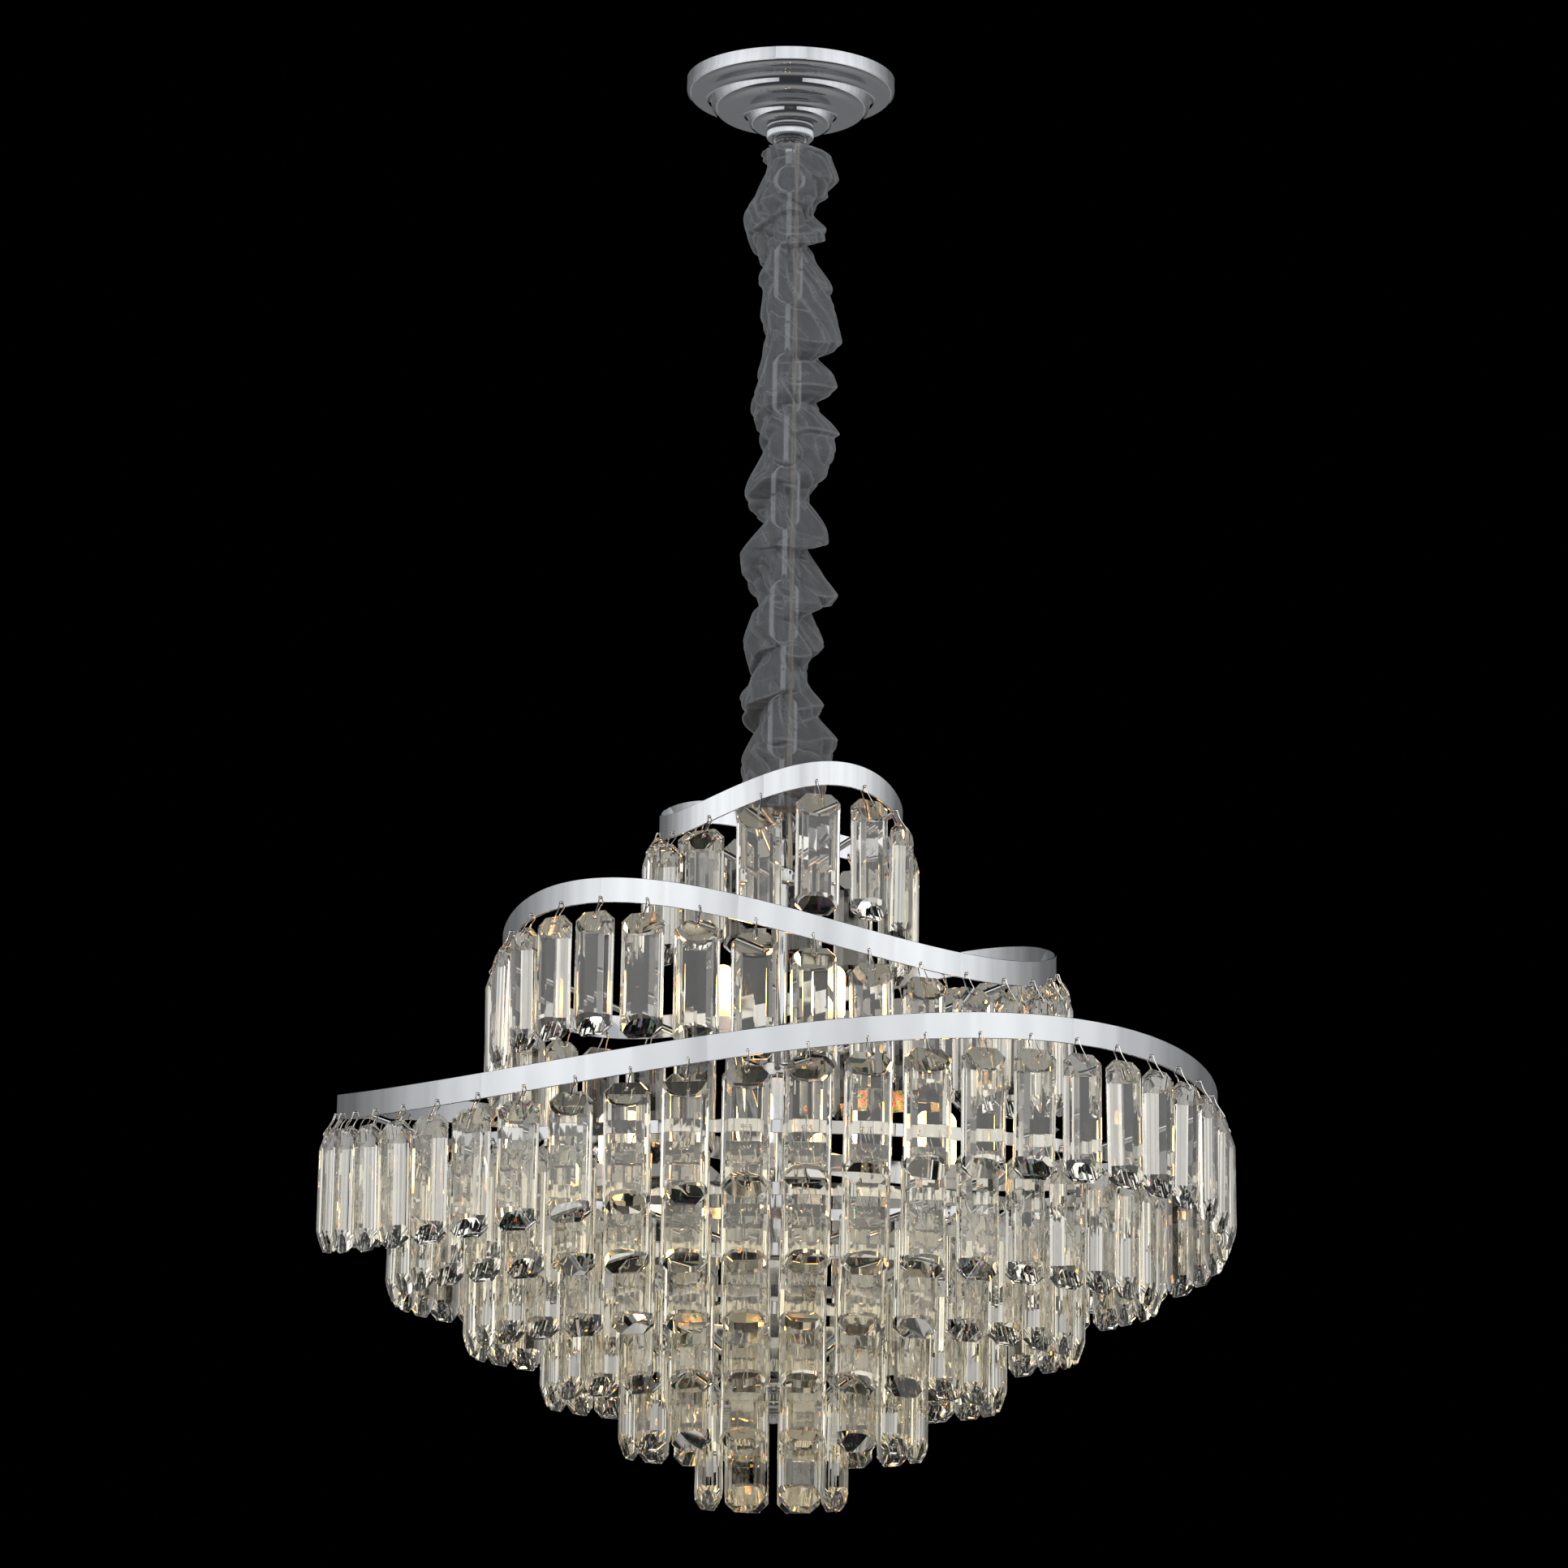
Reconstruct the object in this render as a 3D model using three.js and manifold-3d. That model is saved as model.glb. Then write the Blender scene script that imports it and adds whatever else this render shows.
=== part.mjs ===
import * as THREE from 'three';
import { mergeVertices } from 'three/addons/utils/BufferGeometryUtils.js';
import Module from 'manifold-3d';

// A crystal chandelier: three wavy bands and a stepped cage of rings, hung with faceted glass
// bars, under a ceiling rose, a chain and a sheer fabric sleeve.
// Millimetres, +Z up. The origin is the middle of the ceiling plate's top face.
// Angles round the Z axis start at the front (-Y) and grow towards the right (+X).

// Gaps
const seatGap = 0.3; // between two pieces that touch
const hookGap = 0.6; // between a wire hook's end and the crystal that swings under it
const cutOverrun = 2; // how far a cut runs past what it cuts

// Ceiling plate with its welded stud
const plateLength = 112;
const plateWidth = 26;
const plateThickness = 3;
const studRadius = 4;
const screwHoleRadius = 2.6;
const screwHolePitch = 92;

// Canopy, a stepped dish that the collar holds up
const canopyRadius = 77;
const canopyStepRadius = 56.5;
const canopyBossRadius = 29;
const canopyRimDrop = 0.5; // its rim stays just under the ceiling
const canopyStepHeight = 12.5;
const canopyWall = 1.2;
const canopyBend = 2.5; // the rounding of each step's lower edge
const canopyCove = 2; // how much each shelf slopes
const canopyHoleClearance = 0.5;

// Loop that carries the chain, with a threaded neck for the collar
const neckRadius = 13;
const neckBoreRadius = 10.8;
const neckHeight = 20;
const webThickness = 4;
const shankRadius = 4;
const shankLength = 14;
const loopRadius = 10; // to the middle of the wire
const loopWireRadius = 2.25;
const collarRadius = 17.5;
const collarHeight = 8;
const collarThreadClearance = 0.3;
const collarRibs = 18;
const collarRibDepth = 0.6;

// Terminal block inside the canopy
const terminalLength = 24;
const terminalWidth = 16;
const terminalHeight = 13;
const terminalReach = 22; // from the axis to its near end
const terminalWireHoleRadius = 1.7;
const terminalPoles = 3;

// Chain
const linkCount = 11;
const linkLength = 52; // over the wire
const linkWidth = 22; // over the wire
const linkWireRadius = 2.25;

// Supply flex
const flexRadius = 2.5;
const flexOffset = 5.3; // sideways and forwards from the axis, beside the chain
const flexHoleClearance = 0.5;

// Sheer sleeve over the chain
const sleeveRadius = 30;
const sleeveTopDrop = 6; // below the collar
const sleeveEndDepth = 556; // its lower edge below the ceiling
const sleeveFoldDepth = 2.2;

// Central frame
const frameNeckRadius = 6;
const frameNeckHeight = 24;
const stemRadius = 6;
const stemWall = 1.5;
const stemTail = 17; // how far it runs below the innermost ring's lower edge
const hubRadius = 12;
const hubHeight = 10;
const rodRadius = 2.5;
const finialRadius = 11;
const finialHeight = 16;
const padRadius = 8; // a lamp's seat on a rod
const hookHoleRise = 3.5; // a hook's hole above the lower edge of its band or ring

// Wavy bands: strips bent to a ring, each with two crests and two dips round its turn
const bandHeight = 17.5;
const bandThickness = 1.6;
const topBandRadius = 87;
const topBandDepth = 546; // of its upper edge, midway between crest and dip
const topBandWave = 16; // height of a crest above that
const middleBandRadius = 197.5;
const middleBandDepth = 653.5;
const middleBandWave = 25;
const bottomBandRadius = 311.5;
const bottomBandDepth = 757.6;
const bottomBandWave = 21.7;

// Stepped cage of level rings under the lowest band, from the outer ring inwards
const cageInnerRadius = 42;
const cageStepOut = 54.8;
const cageStepUp = 34.8;
const cageInnerDepth = 957; // of the innermost ring's lower edge
const cageRingHeight = 9;
const cageCrystals = [42, 34, 26, 16, 8];
const cageFlats = [1, 1, 1, 2, 3]; // flats of a ring for each of its crystals

// Hubs of the four spiders, as depths of their middles
const upperHubDepth = 600;
const middleHubDepth = 740;
const lowerHubDepth = 870;

// Crystals
const crystalLength = 86;
const crystalWidth = 32;
const crystalThickness = 13;
const crystalFlatWidth = 13; // the flat left between the side bevels
const crystalCornerCut = 7;
const crystalEndFacet = 17; // height of the slanted facets at each end
const crystalDrop = 7; // its top below the edge that it hangs on
const crystalStandOut = 6; // its middle outside the middle of its band or ring
const hookWidth = 5;
const hookThickness = 1;
const hookWire = 1.2;
const webHeight = 4; // the thin bridge between neighbours, just under their shoulders
const webDepth = 1.2;

// Lamps
const upperLampRadius = 40; // from the axis
const lowerLampRadius = 120;
const holderRadius = 10;
const holderHeight = 18;
const socketRadius = 6.6;
const socketDepth = 10;
const bulbRadius = 7.5;
const bulbBaseRadius = 6;
const bulbHeight = 38; // above the holder

// Heights worked out from the above, all below zero
const canopyTop = -canopyRimDrop;
const canopyBottom = canopyTop - 3 * canopyStepHeight;
const collarTop = canopyBottom - seatGap;
const collarBottom = collarTop - collarHeight;
const neckBottom = collarBottom - webThickness;
const neckTop = neckBottom + neckHeight;
const loopMiddle = neckBottom - shankLength - loopRadius - loopWireRadius;
const linkPitch = linkLength - 4 * linkWireRadius - seatGap;
const loopWireMiddle = loopMiddle - loopRadius;
const firstLinkMiddle = loopWireMiddle + loopWireRadius + seatGap + 2 * linkWireRadius - linkLength / 2;
const lastLinkMiddle = firstLinkMiddle - (linkCount - 1) * linkPitch;
const lastWireMiddle = lastLinkMiddle - linkLength / 2 + linkWireRadius;
const frameLoopMiddle = lastWireMiddle + linkWireRadius + seatGap + loopWireRadius - loopRadius;
const frameNeckTop = frameLoopMiddle - loopRadius + loopWireRadius;
const frameNeckBottom = frameNeckTop - frameNeckHeight;
const stemTop = frameNeckBottom - seatGap;
const stemEndDepth = cageInnerDepth + stemTail;
const stemBottom = -stemEndDepth;
const sleeveTop = collarBottom - sleeveTopDrop;
const sleeveBottom = -sleeveEndDepth;
const flexEnd = -upperHubDepth + hubHeight / 2 + seatGap;

// The bands: angles of one crest and of the first crystal, and flats of a strip per crystal
const bands = [
  {
    name: 'top',
    radius: topBandRadius,
    depth: topBandDepth,
    wave: topBandWave,
    crest: 29,
    crystals: 14,
    first: 16.2,
    flats: 2,
  },
  {
    name: 'middle',
    radius: middleBandRadius,
    depth: middleBandDepth,
    wave: middleBandWave,
    crest: -46,
    crystals: 32,
    first: 6.6,
    flats: 1,
  },
  {
    name: 'bottom',
    radius: bottomBandRadius,
    depth: bottomBandDepth,
    wave: bottomBandWave,
    crest: 40,
    crystals: 50,
    first: 3.6,
    flats: 1,
  },
];

// How finely round things are divided
const wireSides = 5;
const linkSteps = 10;
const loopSteps = 14;
const roundSides = 16;
const canopySides = 26;
const holderSides = 10;
const lampSides = 8;
const sleeveSides = 15;
const sleeveRings = 22;
const flexSteps = 26;
const flexSides = 6;

// The sleeve hangs on the upper loop, with its flats just clear of the wire
const sleeveBoreRadius = (loopRadius + loopWireRadius + seatGap) / Math.cos(Math.PI / sleeveSides);

// The sleeve's outline: share of its length from the top, then how far its left and its right
// side stand from the axis as shares of its radius
const sleeveOutlineShares = [
  [0, 0.66, 0.66],
  [0.02, 0.72, 0.98],
  [0.05, 0.6, 1.08],
  [0.1, 1.02, 0.78],
  [0.135, 0.86, 0.86],
  [0.185, 0.66, 0.96],
  [0.28, 0.74, 1.26],
  [0.345, 0.78, 1.16],
  [0.42, 0.8, 1.14],
  [0.515, 0.94, 0.84],
  [0.59, 1.04, 1.04],
  [0.66, 1.02, 1.2],
  [0.745, 0.96, 0.86],
  [0.815, 1.02, 0.72],
  [0.88, 0.98, 1.3],
  [0.93, 0.94, 1.16],
  [1, 0.9, 0.96],
];
const sleeveFoldsRound = 5;
const sleeveFoldTwist = 9;

// The bulb's outline: share of its radius, share of its height above the holder
const bulbOutlineShares = [
  [0.86, 0.04],
  [1, 0.12],
  [1, 0.72],
  [0.8, 0.9],
  [0.4, 0.98],
];

// The finial's outline: share of its radius, share of its height
const finialOutlineShares = [
  [0.9, 0],
  [1, -0.2],
  [0.62, -0.42],
  [0.72, -0.62],
  [0.5, -0.88],
];

// Materials
const chrome = { color: 0xc9ccd0, roughness: 0.12, metalness: 1 };
const steel = { color: 0xa8abb0, roughness: 0.35, metalness: 1 };
const crystal = { color: 0xe8edf2, roughness: 0.03, metalness: 0 };
const organza = { color: 0xa9adb0, roughness: 0.7, metalness: 0 };
const flexPlastic = { color: 0xe6d9a8, roughness: 0.35, metalness: 0 };
const ceramic = { color: 0xf2f0ea, roughness: 0.4, metalness: 0 };
const lampGlass = { color: 0xfff0d2, roughness: 0.3, metalness: 0 };
const terminalPlastic = { color: 0xe9e9e4, roughness: 0.5, metalness: 0 };

const wasm = await Module();
wasm.setup();

const chandelier = new THREE.Group();

function addPiece(name, geometry, finish) {
  const piece = new THREE.Mesh(geometry, new THREE.MeshStandardMaterial(finish));
  piece.name = name;
  chandelier.add(piece);
  return piece;
}

// Joining and cutting

function toSolid(geometry) {
  const bare = geometry.clone();
  bare.deleteAttribute('normal');
  bare.deleteAttribute('uv');
  const merged = mergeVertices(bare);
  const vertProperties = new Float32Array(merged.attributes.position.array);
  const triVerts = new Uint32Array(merged.index.array);
  return new wasm.Manifold(new wasm.Mesh({ numProp: 3, vertProperties, triVerts }));
}

function toGeometry(solid) {
  const mesh = solid.getMesh();
  const geometry = new THREE.BufferGeometry();
  geometry.setAttribute('position', new THREE.BufferAttribute(new Float32Array(mesh.vertProperties), 3));
  geometry.setIndex(new THREE.BufferAttribute(new Uint32Array(mesh.triVerts), 1));
  return geometry;
}

function shape(base, { joined = [], cut = [] }) {
  let solid = toSolid(base);
  for (const geometry of joined) {
    solid = solid.add(toSolid(geometry));
  }
  for (const geometry of cut) {
    solid = solid.subtract(toSolid(geometry));
  }
  return toGeometry(solid);
}

// Basic forms

function fromTriangles(points) {
  const geometry = new THREE.BufferGeometry();
  geometry.setAttribute('position', new THREE.Float32BufferAttribute(points.flat(), 3));
  return mergeVertices(geometry);
}

// Point at an angle from the front, at a radius and a height
function polar(angle, radius, height) {
  return [radius * Math.sin(angle), -radius * Math.cos(angle), height];
}

const radians = THREE.MathUtils.degToRad;

// Upright cylinder between two heights
function post(radius, bottom, top, sides = roundSides) {
  const geometry = new THREE.CylinderGeometry(radius, radius, top - bottom, sides);
  geometry.rotateX(Math.PI / 2);
  return geometry.translate(0, 0, (top + bottom) / 2);
}

// Round rod between two points
function rod(from, to, radius) {
  const start = new THREE.Vector3(...from);
  const end = new THREE.Vector3(...to);
  const along = end.clone().sub(start);
  const geometry = new THREE.CylinderGeometry(radius, radius, along.length(), wireSides);
  const up = new THREE.Vector3(0, 1, 0);
  geometry.applyQuaternion(new THREE.Quaternion().setFromUnitVectors(up, along.normalize()));
  const middle = start.add(end).divideScalar(2);
  return geometry.translate(middle.x, middle.y, middle.z);
}

// Solid of revolution about the Z axis from points of radius and height
function turned(points, sides) {
  const profile = points.map(([radius, height]) => new THREE.Vector2(radius, height));
  const geometry = new THREE.LatheGeometry(profile, sides);
  return geometry.rotateX(Math.PI / 2);
}

// Ring in the XZ plane, or in the YZ plane when turned
function wireRing(radius, wireRadius, height, turnedSideways) {
  const geometry = new THREE.TorusGeometry(radius, wireRadius, wireSides, loopSteps);
  geometry.rotateX(Math.PI / 2);
  if (turnedSideways) {
    geometry.rotateZ(Math.PI / 2);
  }
  return geometry.translate(0, 0, height);
}

// Flat strip bent to a closed ring of flats, with its first bend at an angle and its lower edge
// at a height that depends on the angle
function stripRing({ radius, height, first, flats, edgeAt }) {
  const corners = (step) => {
    const angle = first + (2 * Math.PI * step) / flats;
    const low = edgeAt(angle);
    const inner = radius - bandThickness / 2;
    const outer = radius + bandThickness / 2;
    return [
      polar(angle, outer, low),
      polar(angle, outer, low + height),
      polar(angle, inner, low + height),
      polar(angle, inner, low),
    ];
  };
  const triangles = [];
  for (let step = 0; step < flats; step += 1) {
    const here = corners(step);
    const next = corners((step + 1) % flats);
    for (let side = 0; side < 4; side += 1) {
      const after = (side + 1) % 4;
      triangles.push(here[side], next[side], next[after]);
      triangles.push(here[side], next[after], here[after]);
    }
  }
  return fromTriangles(triangles);
}

// Ceiling plate, loop, canopy, collar and terminal block

function makeCeilingPlate() {
  const plate = new THREE.BoxGeometry(plateLength, plateWidth, plateThickness);
  plate.translate(0, 0, -plateThickness / 2);
  const stud = post(studRadius, neckBottom + webThickness + seatGap, -plateThickness / 2, wireSides * 2);
  const holes = [-1, 1].map((side) => {
    const hole = post(screwHoleRadius, -plateThickness - cutOverrun, cutOverrun, wireSides * 2);
    return hole.translate((side * screwHolePitch) / 2, 0, 0);
  });
  return shape(plate, { joined: [stud], cut: holes });
}

function makeCanopyLoop() {
  const neck = post(neckRadius, neckBottom, neckTop);
  const bore = post(neckBoreRadius, neckBottom + webThickness, neckTop + cutOverrun);
  const shank = post(shankRadius, loopMiddle + loopRadius, neckBottom + webThickness / 2, wireSides * 2);
  const ring = wireRing(loopRadius, loopWireRadius, loopMiddle, false);
  const flexHole = post(flexRadius + flexHoleClearance, neckBottom - cutOverrun, neckTop, wireSides * 2);
  flexHole.translate(flexOffset, -flexOffset, 0);
  const hollowNeck = shape(neck, { cut: [bore, flexHole] });
  return shape(hollowNeck, { joined: [shank, ring] });
}

function makeCanopy() {
  const stepRadii = [canopyRadius, canopyStepRadius, canopyBossRadius];
  const outer = [];
  const inner = [];
  stepRadii.forEach((radius, step) => {
    const top = canopyTop - step * canopyStepHeight;
    const bottom = top - canopyStepHeight + (step < 2 ? canopyCove : 0);
    outer.push([radius, top]);
    outer.push([radius, bottom + canopyBend]);
    outer.push([radius - canopyBend / 3, bottom + canopyBend / 3]);
    outer.push([radius - canopyBend, bottom]);
    inner.push([radius - canopyWall, top + (step > 0 ? canopyCove + canopyWall : 0)]);
    inner.push([radius - canopyWall - canopyBend / 3, bottom + canopyWall]);
  });
  const holeRadius = neckRadius + canopyHoleClearance;
  const outline = [...outer, [holeRadius, canopyBottom], [holeRadius, canopyBottom + canopyWall]];
  outline.push(...inner.reverse());
  outline.push(outer[0]);
  return turned(outline.reverse(), canopySides);
}

function makeCanopyCollar() {
  const steps = collarRibs * 2;
  const outline = new THREE.Shape();
  for (let step = 0; step < steps; step += 1) {
    const angle = (2 * Math.PI * step) / steps;
    const radius = step % 2 === 0 ? collarRadius : collarRadius - collarRibDepth;
    const [x, y] = polar(angle, radius, 0);
    if (step === 0) {
      outline.moveTo(x, y);
    } else {
      outline.lineTo(x, y);
    }
  }
  outline.closePath();
  const bore = new THREE.Path();
  bore.absarc(0, 0, neckRadius + collarThreadClearance, 0, 2 * Math.PI, true);
  outline.holes.push(bore);
  const body = new THREE.ExtrudeGeometry(outline, {
    depth: collarHeight,
    bevelEnabled: false,
    curveSegments: roundSides / 2,
  });
  return body.translate(0, 0, collarBottom);
}

function makeTerminalBlock() {
  const top = -plateThickness - seatGap;
  const block = new THREE.BoxGeometry(terminalLength, terminalWidth, terminalHeight);
  block.translate(terminalReach + terminalLength / 2, 0, top - terminalHeight / 2);
  const pitch = terminalWidth / terminalPoles;
  const holes = [];
  for (let pole = 0; pole < terminalPoles; pole += 1) {
    const hole = new THREE.CylinderGeometry(
      terminalWireHoleRadius,
      terminalWireHoleRadius,
      terminalLength / 2,
      wireSides,
    );
    hole.rotateZ(Math.PI / 2);
    const y = (pole - (terminalPoles - 1) / 2) * pitch;
    holes.push(hole.translate(terminalReach + terminalLength, y, top - terminalHeight / 2));
  }
  return shape(block, { cut: holes });
}

// Chain link: a ring pulled long, in the XZ plane, or in the YZ plane when turned
function makeLink(turnedSideways) {
  const bendRadius = linkWidth / 2 - linkWireRadius;
  const halfStraight = linkLength / 2 - linkWidth / 2;
  const geometry = new THREE.TorusGeometry(bendRadius, linkWireRadius, wireSides, linkSteps);
  geometry.rotateZ(Math.PI / 2);
  const position = geometry.attributes.position;
  const nearlyMiddle = bendRadius / linkSteps;
  for (let i = 0; i < position.count; i += 1) {
    const y = position.getY(i);
    if (Math.abs(y) > nearlyMiddle) {
      position.setY(i, y + Math.sign(y) * halfStraight);
    }
  }
  geometry.rotateX(Math.PI / 2);
  if (turnedSideways) {
    geometry.rotateZ(Math.PI / 2);
  }
  return geometry;
}

function addChain() {
  for (let index = 0; index < linkCount; index += 1) {
    const link = makeLink(index % 2 === 0);
    link.translate(0, 0, firstLinkMiddle - index * linkPitch);
    addPiece(`chain_link_${String(index + 1).padStart(2, '0')}`, link, chrome);
  }
}

// Supply flex, from the terminal block down beside the chain and into the upper hub
function makeFlex() {
  const route = [
    [terminalReach - 2 * seatGap, 0, -10],
    [18, 0, -10],
    [14, -1, -10.6],
    [9, -4, -14.5],
    [flexOffset + 0.6, -flexOffset + 0.2, -22],
    [flexOffset, -flexOffset, -34],
    [flexOffset, -flexOffset, -80],
    [flexOffset, -flexOffset, -300],
    [flexOffset, -flexOffset, -520],
    [flexOffset, -flexOffset, -540],
    [5.8, -5.8, -556],
    [6.6, -6.6, -570],
    [6.7, -6.7, -580],
    [6.7, -6.7, flexEnd],
  ];
  const points = route.map((point) => new THREE.Vector3(...point));
  const path = new THREE.CatmullRomCurve3(points, false, 'centripetal');
  const section = new THREE.Shape();
  section.absarc(0, 0, flexRadius, 0, 2 * Math.PI, false);
  return new THREE.ExtrudeGeometry(section, {
    steps: flexSteps,
    curveSegments: flexSides / 2,
    extrudePath: path,
  });
}

// Smooth value between the rows of a table of shares
function shareAt(table, column, along) {
  let row = 1;
  while (row < table.length - 1 && table[row][0] < along) {
    row += 1;
  }
  const before = table[row - 1];
  const after = table[row];
  const way = THREE.MathUtils.smoothstep(along, before[0], after[0]);
  return THREE.MathUtils.lerp(before[column], after[column], way);
}

// Sheer sleeve: a loose tube with swellings and slanting folds round a plain bore
function makeSleeve() {
  const outer = (ring, side) => {
    const along = ring / sleeveRings;
    const angle = (2 * Math.PI * side) / sleeveSides;
    const left = shareAt(sleeveOutlineShares, 1, along) * sleeveRadius;
    const right = shareAt(sleeveOutlineShares, 2, along) * sleeveRadius;
    const away = (1 - Math.sin(angle)) / 2;
    const fold = Math.cos(sleeveFoldsRound * angle + sleeveFoldTwist * 2 * along);
    const radius = THREE.MathUtils.lerp(right, left, away) + fold * sleeveFoldDepth;
    return polar(angle, radius, THREE.MathUtils.lerp(sleeveTop, sleeveBottom, along));
  };
  const inner = (end, side) => {
    const angle = (2 * Math.PI * side) / sleeveSides;
    return polar(angle, sleeveBoreRadius, end === 0 ? sleeveTop : sleeveBottom);
  };
  const triangles = [];
  const addQuad = (a, b, c, d) => {
    triangles.push(a, b, c);
    triangles.push(a, c, d);
  };
  for (let side = 0; side < sleeveSides; side += 1) {
    const next = (side + 1) % sleeveSides;
    for (let ring = 0; ring < sleeveRings; ring += 1) {
      addQuad(outer(ring, side), outer(ring + 1, side), outer(ring + 1, next), outer(ring, next));
    }
    addQuad(inner(0, side), inner(0, next), inner(1, next), inner(1, side));
    addQuad(inner(0, side), outer(0, side), outer(0, next), inner(0, next));
    addQuad(outer(sleeveRings, side), inner(1, side), inner(1, next), outer(sleeveRings, next));
  }
  return fromTriangles(triangles);
}

// Central frame

function makeFrameTopLoop() {
  const ring = wireRing(loopRadius, loopWireRadius, frameLoopMiddle, false);
  const neck = post(frameNeckRadius, frameNeckBottom, frameNeckTop);
  return shape(ring, { joined: [neck] });
}

function makeStemTube() {
  const tube = post(stemRadius, stemBottom, stemTop);
  const bore = post(stemRadius - stemWall, stemBottom - cutOverrun, stemTop + cutOverrun);
  return shape(tube, { cut: [bore] });
}

// Hub on the stem with sloping rods out to a ring, and seats for lamps where there are any
function makeSpider({ hubDepth, rodEnds, padRods = [], padDistance = 0 }) {
  const hub = post(hubRadius, -hubDepth - hubHeight / 2, -hubDepth + hubHeight / 2);
  const bore = post(
    stemRadius + seatGap,
    -hubDepth - hubHeight,
    -hubDepth + hubHeight,
  );
  const inner = (stemRadius + hubRadius) / 2;
  const joined = [];
  rodEnds.forEach(({ angle, radius, height }, index) => {
    joined.push(rod(polar(angle, inner, -hubDepth), polar(angle, radius, height), rodRadius));
    if (padRods.includes(index)) {
      const [x, y] = polar(angle, padDistance, 0);
      const { bottom, top } = padHeights(hubDepth, radius, height, padDistance);
      joined.push(post(padRadius, bottom, top, lampSides).translate(x, y, 0));
    }
  });
  const solid = shape(hub, { joined });
  return shape(solid, { cut: [bore] });
}

// A lamp's seat rises from the middle of the sloping rod until it clears the rod's upper side
function padHeights(hubDepth, rodEndRadius, rodEndHeight, distance) {
  const inner = (stemRadius + hubRadius) / 2;
  const slope = Math.atan2(rodEndHeight + hubDepth, rodEndRadius - inner);
  const bottom = -hubDepth + (distance - inner) * Math.tan(slope);
  const top = bottom + holderRadius * Math.tan(slope) + rodRadius / Math.cos(slope);
  return { bottom, top };
}

// Height of a band's lower edge at an angle
function bandEdge(band) {
  const crest = radians(band.crest);
  return (angle) => -band.depth - bandHeight + band.wave * Math.cos(2 * (angle - crest));
}

// A band's four rods meet its inner face where it is neither high nor low
function bandRodEnds(band, hubDepth) {
  const inner = (band.radius - bandThickness / 2) * Math.cos(Math.PI / (band.crystals * band.flats));
  const height = -band.depth - bandHeight / 2;
  const slope = Math.atan2(height + hubDepth, inner);
  const radius = inner - seatGap - rodRadius * Math.sin(slope);
  return [0, 1, 2, 3].map((quarter) => ({
    angle: radians(band.crest + 45 + 90 * quarter),
    radius,
    height,
  }));
}

function cageRadius(index) {
  return cageInnerRadius + cageStepOut * (cageCrystals.length - 1 - index);
}

function cageRingLow(index) {
  return -cageInnerDepth + cageStepUp * (cageCrystals.length - 1 - index);
}

// The cage's rods run down the cone of its rings and rest on their upper edges, clear of the
// flattest ring's inner edge
const cageSlope = Math.atan2(cageStepUp, cageStepOut);
const cageInwards = Math.max(...cageCrystals.map((count, index) => {
  const radius = cageRadius(index);
  return radius - (radius - bandThickness / 2) * Math.cos(Math.PI / (count * cageFlats[index]));
}));
const cageRodRise = cageRingHeight + seatGap + rodRadius / Math.cos(cageSlope)
  + cageInwards * Math.tan(cageSlope);
const cageHubDepth = cageInnerDepth - cageRodRise
  + (cageInnerRadius - (stemRadius + hubRadius) / 2) * Math.tan(cageSlope);

function cageRodEnds() {
  const overhang = 2 * rodRadius;
  const radius = cageRadius(0) + overhang;
  const height = cageRingLow(0) + cageRodRise + overhang * Math.tan(cageSlope);
  return [0, 1, 2, 3].map((quarter) => ({
    angle: radians(45 + 90 * quarter),
    radius,
    height,
  }));
}

function makeFinial() {
  const top = stemBottom - seatGap;
  const outline = finialOutlineShares.map(([wide, high]) => [wide * finialRadius, top + high * finialHeight]);
  return turned([[0, top - finialHeight], ...outline.reverse(), [0, top]], roundSides / 2);
}

// Crystals

// A face's corners in the order that turns it away from a point inside, with the same first one
function turnedAway(corners, inside) {
  const points = corners.map((corner) => new THREE.Vector3(...corner));
  const first = points[0];
  const normal = new THREE.Vector3();
  for (let index = 1; index < points.length - 1; index += 1) {
    const side = points[index].clone().sub(first);
    normal.add(side.cross(points[index + 1].clone().sub(first)));
  }
  const outwards = first.clone().sub(new THREE.Vector3(...inside));
  return normal.dot(outwards) > 0 ? corners : [corners[0], ...corners.slice(1).reverse()];
}

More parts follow.
